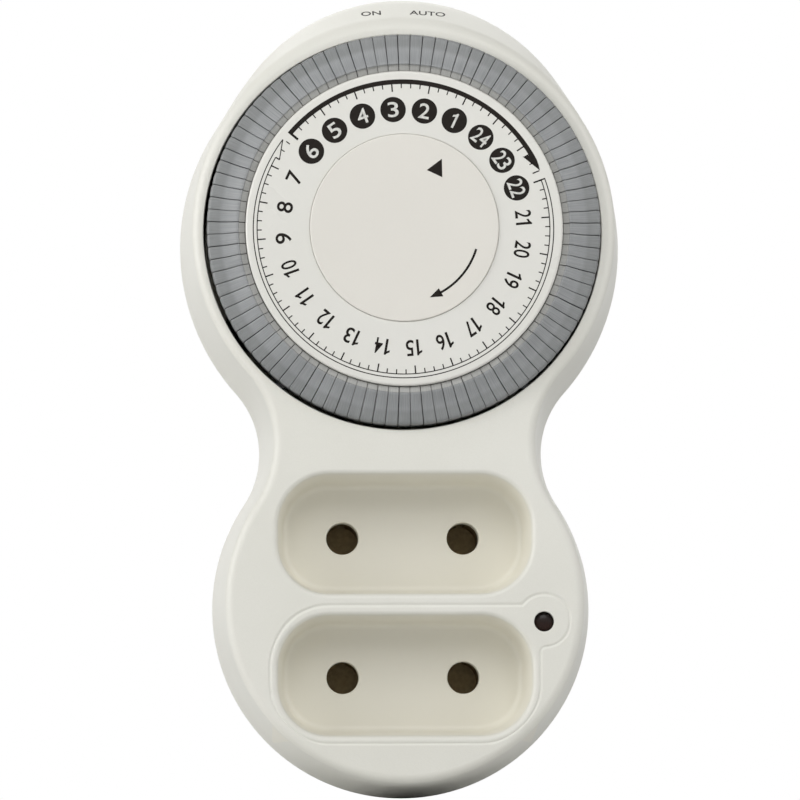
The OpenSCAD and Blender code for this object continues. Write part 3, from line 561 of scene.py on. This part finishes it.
POST_R, SHANK_HOLE_R, CUP_R = 2.8, 1.5, 2.5
posts = [rod(x, z, [(POST_R, FRONT + 0.1), (POST_R, CASE - 1)]) for x, z in SCREWS]
cut(rear_housing, *posts, operation="UNION")
cups = [rod(x, z, [(SHANK_HOLE_R, FRONT - 1), (SHANK_HOLE_R, SCREW_SEAT), (CUP_R, SCREW_SEAT),
                   (CUP_R, CASE - 0.2), (CUP_R + 0.4, CASE + 0.2)]) for x, z in SCREWS]
pin_seats = [rod(side * PIN_SIDE, 0, [(PLUG_R, 40), (PLUG_R, STACK - 0.3),
                                      (PLUG_R + 0.6, STACK + 0.3)]) for side in (-1, 1)]
cut(rear_housing, *cups, *pin_seats)


# Trippers: 96 push keys in grey plastic, four to an hour. Each has a crowned head with a low step
# at its inner end and a rounded, sloping outer end, over a leg that runs in a slot of the carrier.
HEAD_BACK = 2.2
HOUR_ONE, PITCH, HOUR, GAP, LEG_SWEEP = 24.5, 3.75, 15, 0.2, 2.1     # in degrees


def tripper_grey():
    """Grey plastic with the fine radial lines that the moulds leave on the heads."""
    finish = Finish("tripper_grey")
    across, up = finish.along("X"), finish.along("Z") - DIAL_Z * MM
    turn = across.math("ARCTAN2", across, up)
    reach = across.math("SQRT", across * across + up * up)
    lines = finish.node("ShaderNodeTexNoise", {"noise_dimensions": "2D"}, {
        "Vector": finish.node("ShaderNodeCombineXYZ", values={0: turn * 190, 1: reach * 130}),
        "Scale": 1.6, "Detail": 4})
    share = (lines * 0.62 + finish.noise(160, 3) * 0.38).between(0.34, 0.68)
    # The step at the inner end is lighter, partly for its smoother finish and partly as painted
    # light that lifts the shade the number disc's rim throws on it. The outer ends are darker:
    # painted shade.
    step = share.colours(tint(163, 163, 160), tint(177, 177, 174))
    body = share.colours(tint(134, 136, 137), tint(151, 153, 154))
    outer_end_painted_shade = share.colours(tint(119, 121, 121), tint(135, 137, 137))
    body = reach.between(28.1 * MM, 29 * MM).colours(body, outer_end_painted_shade)
    finish.set(Base_Color=reach.between(25.66 * MM, 25.74 * MM).colours(step, body),
               Roughness=lines * 0.25 + 0.27, IOR=1.5)
    finish.bump(lines, 0.00004, 0.6)
    return finish.material


# The head from its inner foot round to its outer foot, and the leg, as (radius, depth).
HEAD = [(24.55, -1.1), (24.76, -1.4), (24.82, -1.75), (24.95, -1.84), (25.55, -1.88),
        (25.66, -1.96), (25.72, -2.3), (25.82, -2.4), (25.95, -2.41), (26.15, -2.34),
        (26.6, -2.12), (27.0, -1.93), (27.5, -1.72), (28.0, -1.56), (28.4, -1.47), (28.9, -1.42),
        (29.6, -1.4), (30.1, -1.39), (30.35, -1.34), (30.55, -1.22), (30.67, -0.96), (30.71, -0.5),
        (30.71, HEAD_BACK), (24.55, HEAD_BACK)]
LEG = [(26.15, 1.0), (28.35, 1.0), (28.35, 8.3), (28.05, 8.6), (26.45, 8.6), (26.15, 8.3)]
ACROSS = (-1, -0.97, -0.9, -0.72, -0.35, 0, 0.35, 0.72, 0.9, 0.97, 1)
DROP = {1: 0.07, 0.97: 0.025, 0.9: 0.005}         # the head's rounding toward its two sides
END_FROM, END_LONG, END_PULL = 29.6, 1.3, 0.1     # and at the corners of its outer end

grey = tripper_grey()
uneven = random.Random(7)
for hour in range(1, 25):
    keys = Solid()
    for k in range(4):
        middle = math.radians(HOUR_ONE - HOUR * (hour - 1) - PITCH * (k + 0.5))
        middle += math.radians(uneven.uniform(-0.05, 0.05))
        high, lean = uneven.uniform(-0.03, 0.03), uneven.uniform(-0.02, 0.02)
        columns = []
        for across in ACROSS:
            a = middle + math.radians(PITCH - GAP) / 2 * across
            drop = DROP.get(abs(across), 0) + high + lean * across
            column = []
            for r, d in HEAD:
                share = max(0.0, min(1.0, (r - END_FROM) / END_LONG))
                r -= END_PULL * abs(across) ** 4 * share
                d += drop if d < HEAD_BACK - 0.5 else 0
                column.append(len(keys.points))
                keys.points.append((r * math.sin(a), d, DIAL_Z + r * math.cos(a)))
            columns.append(column)
        keys.skin(*columns)
        keys.faces += [tuple(columns[0]), tuple(reversed(columns[-1]))]
        leg = math.radians(LEG_SWEEP)
        keys.turned(0, DIAL_Z, LEG, 4, middle - leg / 2, leg)
    name = f"trippers_hour_{hour:02d}"
    keys.piece(name + "_keys", name, "tripper_grey", grey, [name], smooth=38)


# Number disc: a flat ring of gloss white plastic pressed onto the carrier, pad-printed in black
# with the hours, the quarter-hour scale, the solid night band and the open day band.
DISC_FRONT, DISC_BACK, DISC_R, DISC_EDGE = -2.6, -1.4, 24.69, 0.4
CAP_R, CAP_GAP = 14.69, 0.05
disc_white = moulded("disc_white", tint(225, 224, 218), tint(222, 221, 214), 0.3, 0.000003)
disc = Solid()
hole_r = CAP_R + CAP_GAP
disc.turned(0, DIAL_Z, [
    (hole_r, DISC_BACK), (hole_r, DISC_FRONT + 0.03), (hole_r + 0.01, DISC_FRONT + 0.01),
    (hole_r + 0.03, DISC_FRONT), (hole_r + 0.06, DISC_FRONT), (DISC_R - 0.45, DISC_FRONT)]
    + [(DISC_R - o, DISC_FRONT + d) for o, d in rounded(DISC_EDGE, 6)] + [(DISC_R, DISC_BACK)], 256)
disc.piece("number_disc_ring", "dial", "disc_white", disc_white, ["number_disc"])

INK, INK_ROOT = 0.015, 0.02     # how far the ink stands out of the face, and how far it goes in


def printed(name, colour):
    """Pad-printed ink, a little uneven."""
    finish = Finish(name)
    worn = tuple(c * 1.25 for c in colour)
    finish.set(Base_Color=finish.noise(2600, 3).between(0.3, 0.7).colours(colour, worn),
               Roughness=finish.noise(1500, 2) * 0.2 + 0.3, Specular_IOR_Level=0.08)
    return finish.material


class Print(Solid):
    """Flat shapes of ink on a face at one depth, each a closed sliver as thick as the ink."""

    def __init__(self, depth, centre=(0.0, DIAL_Z)):
        super().__init__()
        self.depth, self.centre = depth, centre

    def prism(self, flat, faces):
        """A closed sliver over a flat mesh of (x, z) points and its faces."""
        n, at = len(flat), len(self.points)
        self.points += [(x, self.depth - INK, z) for x, z in flat]
        self.points += [(x, self.depth + INK_ROOT, z) for x, z in flat]
        edges = {}
        for face in faces:
            self.faces.append(tuple(at + i for i in face))
            self.faces.append(tuple(at + n + i for i in reversed(face)))
            edges.update(dict.fromkeys(zip(face, face[1:] + face[:1])))
        for i, j in edges:
            if (j, i) not in edges:
                self.faces.append((at + j, at + i, at + n + i, at + n + j))

    def polygon(self, ring):
        n = len(ring)
        _, _, triangles, origin, _, _ = geometry.delaunay_2d_cdt(
            [Vector(p) for p in ring], [(i, (i + 1) % n) for i in range(n)], [], 1, WELD)
        self.prism(ring, [tuple(origin[v][0] for v in t) for t in triangles])

    def polar(self, r, degrees):
        """A place by its radius and its angle, clockwise from the top."""
        a = math.radians(degrees)
        return self.centre[0] + r * math.sin(a), self.centre[1] + r * math.cos(a)

    def band(self, r_in, r_out, start, end):
        steps = max(2, int(abs(end - start) / 1.2))
        angles = [start + (end - start) * i / steps for i in range(steps + 1)]
        self.polygon([self.polar(r_out, a) for a in angles]
                     + [self.polar(r_in, a) for a in reversed(angles)])

    def line(self, a, b, width):
        along = Vector((b[0] - a[0], b[1] - a[1])).normalized() * (width / 2)
        self.polygon([(a[0] - along.y, a[1] + along.x), (a[0] + along.y, a[1] - along.x),
                      (b[0] + along.y, b[1] - along.x), (b[0] - along.y, b[1] + along.x)])

    def words(self, text, tall, wide, place, degrees, bold):
        """Lettering centred on a place and turned clockwise, with its height and full width."""
        curve = bpy.data.curves.new("words", "FONT")
        curve.body, curve.offset, curve.resolution_u = text, bold, 6
        made = add("words", curve)
        bpy.context.view_layer.update()
        seen = made.evaluated_get(bpy.context.evaluated_depsgraph_get())
        shape = bmesh.new()
        shape.from_mesh(bpy.data.meshes.new_from_object(seen))
        bmesh.ops.remove_doubles(shape, verts=shape.verts, dist=1e-5)
        shape.verts.index_update()
        xs, ys = [v.co.x for v in shape.verts], [v.co.y for v in shape.verts]
        grow, stretch = tall / (max(ys) - min(ys)), wide / (max(xs) - min(xs))
        a = math.radians(degrees)
        flat = []
        for v in shape.verts:
            x = (v.co.x - (max(xs) + min(xs)) / 2) * stretch
            y = (v.co.y - (max(ys) + min(ys)) / 2) * grow
            flat.append((place[0] + x * math.cos(a) + y * math.sin(a),
                         place[1] - x * math.sin(a) + y * math.cos(a)))
        self.prism(flat, [tuple(v.index for v in f.verts) for f in shape.faces])
        shape.free()
        bpy.data.objects.remove(made)


DIGIT_ONE = [(-0.025, -0.5), (0.125, -0.5), (0.125, 0.5), (0.03, 0.5), (-0.06, 0.39),
             (-0.21, 0.31), (-0.21, 0.175), (-0.025, 0.26)]
DIGIT_ALONE, DIGIT_OF_TWO, DIGIT_PITCH, DIGIT_BOLD = 1.68, 1.22, 1.34, 0.01


def number(ink, text, place, degrees, tall):
    """An hour, its digits set side by side. The figure one is drawn with its flag."""
    wide = DIGIT_ALONE if len(text) == 1 else DIGIT_OF_TWO
    along = Vector((math.cos(math.radians(degrees)), -math.sin(math.radians(degrees))))
    up = Vector((-along.y, along.x))
    for i, digit in enumerate(text):
        spot = Vector(place) + along * DIGIT_PITCH * (i - (len(text) - 1) / 2)
        if digit == "1":
            ink.polygon([tuple(spot + along * x * tall + up * z * tall) for x, z in DIGIT_ONE])
        else:
            ink.words(digit, tall, wide, spot, degrees, DIGIT_BOLD)


black_ink = printed("black_ink", tint(30, 26, 23))
white_ink = printed("white_ink", tint(204, 204, 199))
PRINT_CENTRE = (-0.13, DIAL_Z - 0.13)
NUMBER_R, SPOT_R, NUMBER_TALL, NIGHT_NUMBER_TALL = 18.72, 1.99, 2.5, 2.4
BAND_OUT, BAND_IN, TICK, HOUR_TICK = 23.42, 22.68, 22.03, 21.49
NIGHT_START, NIGHT_END, DAY_START, DAY_END = -49.85, 66.8, 70.4, 306.55
NUMBER_TURN, TICK_TURN = 0.65, 1.0                # degrees past the hour's own angle
TICK_WIDE, HOUR_TICK_WIDE, LINE = 0.17, 0.21, 0.15
scale = Print(DISC_FRONT, PRINT_CENTRE)
night_numbers = Print(DISC_FRONT - INK)
for hour in range(1, 25):
    angle = HOUR_ONE + NUMBER_TURN - HOUR * (hour - 1)
    place = scale.polar(NUMBER_R, angle)
    if hour >= 22 or hour <= 6:
        scale.polygon(circle(*place, SPOT_R, 48))
        number(night_numbers, str(hour), place, angle, NIGHT_NUMBER_TALL)
    else:
        number(scale, str(hour), place, angle, NUMBER_TALL)
for quarter in range(96):
    angle = HOUR_ONE + TICK_TURN - PITCH * quarter
    turned_to = angle % 360
    in_arrow = NIGHT_END + 0.5 < turned_to < DAY_START - 1
    in_tail = DAY_END + 1 < turned_to < NIGHT_START + 360 - 1
    if in_arrow or in_tail:
        continue
    reach, wide = (TICK, TICK_WIDE) if quarter % 4 else (HOUR_TICK, HOUR_TICK_WIDE)
    scale.line(scale.polar(BAND_IN + 0.06, angle), scale.polar(reach, angle), wide)

# The night band ends in an arrow head over the start of the day band.
scale.band(BAND_IN, BAND_OUT, NIGHT_START, 61)
scale.polygon([scale.polar(r, a) for r, a in (
    (BAND_OUT, 60.9), (BAND_OUT, 62.5), (BAND_OUT - 0.1, 64.5), (BAND_OUT - 0.3, NIGHT_END),
    (21.75, 58.8), (BAND_IN, 59.6), (BAND_IN, 60.9))])
scale.line(scale.polar(BAND_OUT, NIGHT_START), scale.polar(HOUR_TICK, NIGHT_START), 0.24)
scale.line(scale.polar(BAND_OUT - 0.4, NIGHT_END), scale.polar(TICK - 0.15, NIGHT_END), TICK_WIDE)
scale.band(BAND_OUT - LINE, BAND_OUT, DAY_START, DAY_END)
scale.band(BAND_IN, BAND_IN + LINE, DAY_START, DAY_END - 7.4)
scale.line(scale.polar(BAND_OUT, DAY_START), scale.polar(HOUR_TICK, DAY_START), 0.2)
barb = scale.polar(22.05, DAY_END - 7.5)
scale.line(scale.polar(BAND_IN + 0.1, DAY_END - 7.4), barb, LINE)
scale.line(barb, scale.polar(BAND_OUT - 0.07, DAY_END), LINE)
scale.piece("number_disc_print", "dial", "disc_white", black_ink)
night_numbers.piece("number_disc_night_numbers", "dial", "disc_white", white_ink)


# Centre cap: a fixed disc on the axle's end, in the same gloss plastic, printed with the pointer
# that the hour is read at and the arrow for the direction of turning.
CAP_FRONT, CAP_EDGE, CAP_BACK, STEM_R, STEM_BACK = -2.88, 0.2, -1.7, 2, 2.1
POINTER = [(5.85, 10.75), (3.5, 8.98), (5.9, 7.84)]          # (x, z) from the dial's axis
ARROW_IN, ARROW_OUT, ARROW_START, ARROW_END = 11.45, 11.8, 107, 152
ARROW_HEAD = [(12.35, 151), (11.62, 160.5), (10.9, 151)]     # (radius, degrees)
cap_white = moulded("cap_white", tint(225, 222, 214), tint(222, 219, 211), 0.34, 0.000004)
cap = Solid()
cap.turned(0, DIAL_Z, [(0, CAP_FRONT), (CAP_R - 0.34, CAP_FRONT)]
           + [(CAP_R - o, CAP_FRONT + d) for o, d in rounded(CAP_EDGE, 6)]
           + [(CAP_R, CAP_BACK), (STEM_R, CAP_BACK), (STEM_R, STEM_BACK), (0, STEM_BACK)], 160)
cap.piece("centre_cap_disc", "case", "disc_white", cap_white, ["centre_cap"])
cap_print = Print(CAP_FRONT)
cap_print.polygon([(x, DIAL_Z + z) for x, z in POINTER])
cap_print.band(ARROW_IN, ARROW_OUT, ARROW_START, ARROW_END)
cap_print.polygon([cap_print.polar(r, a) for r, a in ARROW_HEAD])
cap_print.piece("centre_cap_print", "case", "disc_white", black_ink)


# Lamp window: a lens of smoked red acrylic over the neon lamp. It is pushed into the front housing
# from behind, and its flange stops it.
lens = Finish("smoked_lens")
# Painted shade: the lens is darker towards its top and redder and lighter towards its bottom.
height = lens.along("Z") - LAMP_Z * MM
lens.set(Base_Color=(height * 420 + lens.noise(700, 2) * 0.5).between(-0.35, 0.7).colours(
    tint(44, 26, 21), tint(24, 15, 12)),
    Roughness=lens.noise(900, 2) * 0.1 + 0.2, IOR=1.49, Specular_IOR_Level=0.2)
window = Solid()
window.turned(LAMP_X, LAMP_Z, [
    (0, 0.5), (0.6, 0.53), (1.1, 0.64), (1.35, 0.8), (1.48, 1.05), (1.5, 1.3), (1.5, 1.8),
    (1.85, 1.8), (1.85, 3.4), (0, 3.4)], 48)
window.piece("lamp_lens_window", "case", "lens", lens.material, ["lamp_lens"])


# Override knob: a slide in the housing's white plastic with five ribs across for the thumb. It lies
# in the recess on the top end, snapped over the slider's stem.
RIB = [(-0.45, 0.12), (-0.35, 0.16), (-0.25, 0.36), (-0.1, 0.4), (0.1, 0.4), (0.25, 0.36),
       (0.35, 0.16), (0.45, 0.12)]                # across the rib, and above the slide's base
RIB_PITCH, KNOB_HALF, KNOB_EDGE = 1.5, 4, 0.15
profile = [(-KNOB_HALF, 0), (-KNOB_HALF, 0.08), (-KNOB_HALF + 0.1, 0.12)]
profile += [(RIB_PITCH * rib + x, h) for rib in range(-2, 3) for x, h in RIB]
profile += [(KNOB_HALF - 0.1, 0.12), (KNOB_HALF, 0.08), (KNOB_HALF, 0)]
knob_front, knob_back, knob_base = SLIDER_FRONT - 1.5, SLIDER_BACK + 1.5, KNOB_LAND + 0.1
knob = Solid()
knob_loops = []
for depth, lower in ((knob_front, 0.06), (knob_front + KNOB_EDGE, 0),
                     (knob_back - KNOB_EDGE, 0), (knob_back, 0.06)):
    knob_loops.append(knob.loop(
        [(KNOB_X + x, knob_base + (h - lower if h > 0.1 else h)) for x, h in profile], depth))
knob.skin(*knob_loops)
knob.faces += [tuple(knob_loops[0]), tuple(reversed(knob_loops[-1]))]
knob.piece("override_knob_slide", "override", "housing_white", housing_white, ["override_knob"])


# ON and AUTO: black pad print on the bevel of the front housing, under the two ends of the knob's
# travel. The ink follows the slope of the bevel.
WORDS_TALL, WORDS_BOLD, WORDS_ROOT = 0.86, 0.012, 0.05
bpy.context.view_layer.update()
surface = BVHTree.FromObject(front_housing, bpy.context.evaluated_depsgraph_get())
switch_marks = Print(0)
for text, wide, place, degrees in (("ON", 3.1, (-4.97, 92.79), -3),
                                   ("AUTO", 5.65, (3.9, 92.77), 2.5)):
    switch_marks.words(text, WORDS_TALL, wide, place, degrees, WORDS_BOLD)
for i, (x, d, z) in enumerate(switch_marks.points):
    hit, normal, _, _ = surface.ray_cast(Vector((x * MM, -0.2, z * MM)), Vector((0, 1, 0)))
    spot = hit + normal * (INK if d <= 0 else -WORDS_ROOT) * MM
    switch_marks.points[i] = (spot.x / MM, spot.y / MM + STACK, spot.z / MM)
switch_marks.piece("switch_marks", "case", "housing_white", black_ink)


# Plug pins: two solid pins turned from brass and nickel plated, with rounded tips. The boss of the
# rear housing holds them, and their shanks run through it to the busbars.
def metal(name, colour, dark, rough, brushed=(1, 1, 1)):
    """Metal with a fine grain, which can be drawn out along an axis."""
    finish = Finish(name)
    grain = finish.noise(1400, 4, brushed)
    finish.set(Base_Color=grain.between(0.3, 0.7).colours(dark, colour), Metallic=1.0,
               Roughness=grain * 0.2 + (rough - 0.1))
    finish.bump(grain, 0.000004)
    return finish.material


PIN_ROOT, PIN_LONG, PIN_TIP, PIN_FIT = 36, 19, 1.6, 0.02
nickel = metal("nickel", tint(214, 211, 203), tint(196, 193, 184), 0.24, (1, 0.15, 1))
pins = Solid()
tip = STACK + PIN_LONG
for side in (-1, 1):
    pins.turned(side * PIN_SIDE, 0, [
        (0, PIN_ROOT), (PLUG_R - PIN_FIT, PIN_ROOT), (PLUG_R - PIN_FIT, tip - PIN_TIP)]
        + [(PLUG_R - d, tip - o) for o, d in rounded(PIN_TIP, 6)[1:]] + [(0, tip)], 64)
pins.piece("plug_pins_turned", "case", "nickel", nickel, ["plug_pins"])


# Housing screws: five pan-head screws in zinc-plated steel. They go in from behind, and each head
# sits at the bottom of its cup with its cross recess to the back.
SCREW_PROFILE = [(0, -13), (0.3, -13), (1.3, -11.4), (1.3, 0), (2.2, 0), (2.2, 1.2), (2.1, 1.55),
                 (1.85, 1.82), (1.5, 1.95), (1.0, 2), (0, 2)]   # (radius, depth behind the seat)
steel = metal("steel", tint(196, 197, 199), tint(172, 173, 176), 0.34)
screws = Solid()
for x, z in SCREWS:
    screws.turned(x, z, [(r, SCREW_SEAT + d) for r, d in SCREW_PROFILE], 48)
screw_piece = screws.piece("housing_screws_cross", "case", "steel", steel, ["housing_screws"])
CROSS_HALF, CROSS_THIN, CROSS_FLOOR, CROSS_OPEN = 1.25, 0.28, 30.7, 32
cut(screw_piece, *[cuboid((x - wide, CROSS_FLOOR, z - tall), (x + wide, CROSS_OPEN, z + tall))
                   for x, z in SCREWS
                   for wide, tall in ((CROSS_HALF, CROSS_THIN), (CROSS_THIN, CROSS_HALF))])


# Works inside the case: acetal gears and slides, brass and silver contacts, the motor's steel and
# copper, the lamp and its resistor. Each carried-over part gets the finish of what it is made of.
glass = Finish("lamp_glass")
glass.set(Base_Color=glass.noise(500, 2).between(0.3, 0.7).colours(
    tint(236, 214, 192), tint(224, 196, 170)),
    Roughness=glass.noise(800, 2) * 0.05 + 0.05, Transmission_Weight=0.6, IOR=1.5)
finishes = {
    "housing_white": housing_white, "disc_white": disc_white, "tripper_grey": grey,
    "ivory": moulded("ivory_acetal", tint(226, 222, 206), tint(218, 213, 196), 0.36, 0.000006),
    "steel": steel, "nickel": nickel, "lamp_glass": glass.material, "lens": lens.material,
    "brass": metal("brass", tint(205, 168, 92), tint(184, 146, 74), 0.3, (1, 0.3, 1)),
    "copper": metal("copper_wire", tint(196, 112, 66), tint(168, 88, 48), 0.35, (0.2, 8, 0.2)),
    "silver": metal("contact_silver", tint(214, 214, 212), tint(190, 190, 188), 0.26),
    "tan": moulded("resistor_tan", tint(196, 160, 108), tint(182, 146, 96), 0.5),
    "black": moulded("wire_sleeve", tint(40, 38, 37), tint(32, 31, 30), 0.4),
    "ferrite": moulded("ferrite", tint(72, 72, 74), tint(60, 60, 62), 0.5),
}
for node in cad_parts.values():
    slot_name = node.data.materials[0].name.split(".")[0] if node.data.materials else ""
    if slot_name in finishes:
        node.data.materials[0] = finishes[slot_name]
contact_brass = metal("contact_brass", tint(168, 152, 118), tint(146, 130, 100), 0.6)
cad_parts["socket_contacts"].data.materials[0] = contact_brass


# Studio: a pale floor under the case, seen only from above, and white beyond. Six soft boxes stand
# round it: one low at the side, one each side of the front, one high in front, two above.
FLOOR_HALF, AIM = 2.0, (0, 0, 0.035)              # in metres, as the lamps' places and sizes are
floor_mesh = bpy.data.meshes.new("floor")
floor_mesh.from_pydata([(x * FLOOR_HALF, y * FLOOR_HALF, -SOCKET_R * MM) for x, y in (
    (-1, -1), (1, -1), (1, 1), (-1, 1))], [], [(0, 1, 2, 3)])
floor = add("floor", floor_mesh)
ground = Finish("floor")
ground.set(Base_Color=tint(240, 240, 240), Roughness=0.9)
from_below = ground.node("ShaderNodeNewGeometry", out="Backfacing")
clear = ground.node("ShaderNodeBsdfTransparent")
seen_floor = ground.node("ShaderNodeMixShader", values={
    0: from_below, 1: Value(ground, ground.shader.outputs[0]), 2: clear})
ground.put(ground.tree.nodes["Material Output"].inputs["Surface"], seen_floor)
floor_mesh.materials.append(ground.material)

SKY_FILL = 0.02       # strength of the world as a light. The camera, gloss and glass see it at 1
world = bpy.data.worlds.new("studio")
bpy.context.scene.world = world
sky = Nodes(world)
strength = SKY_FILL
for kind in ("Is Camera Ray", "Is Glossy Ray", "Is Transmission Ray"):
    ray = sky.node("ShaderNodeLightPath", out=kind)
    strength = ray.math("MAXIMUM", ray, strength)
background = sky.tree.nodes["Background"]
sky.put(background.inputs["Strength"], strength)
sky.put(background.inputs["Color"], (1, 1, 1, 1))


def softbox(name, place, size, power):
    """A soft lamp aimed at the middle of the case, with its power in watts."""
    lamp = bpy.data.lights.new(name, "AREA")
    lamp.shape, lamp.size, lamp.size_y, lamp.energy = "RECTANGLE", size[0], size[1], power
    made = add(name, lamp)
    made.location = place
    made.rotation_mode = "QUATERNION"
    made.rotation_quaternion = (Vector(AIM) - Vector(place)).to_track_quat("-Z", "Y")


softbox("softbox_side", (-0.8, -0.3, 0.08), (0.4, 0.8), 4.1)
softbox("softbox_left", (-0.7, -0.5, 0.3), (0.5, 0.5), 1.7)
softbox("softbox_right", (0.7, -0.5, 0.3), (0.5, 0.5), 2.1)
softbox("softbox_high", (0, -0.8, 0.5), (0.5, 0.5), 2.35)
softbox("softbox_back", (0, 0.4, 0.7), (0.8, 0.6), 2.6)
softbox("softbox_top", (0, -0.4, 0.75), (0.9, 0.5), 0.5)

FOCAL, IMAGE, SENSOR = 4317.25, 800, 36           # focal length and image in pixels, sensor in mm
camera_data = bpy.data.cameras.new("camera")
camera_data.sensor_width = SENSOR
camera_data.lens = FOCAL / IMAGE * SENSOR
camera_data.clip_start, camera_data.clip_end = 0.01, 20
camera = add("camera", camera_data)
camera.location = (-22.4576 * MM, -719.6 * MM, -33.98 * MM)
camera.rotation_mode = "XYZ"
camera.rotation_euler = (math.pi / 2 + 0.097701, 0.003483, -0.032259)
bpy.context.scene.camera = camera
bpy.context.scene.view_settings.view_transform = "Standard"
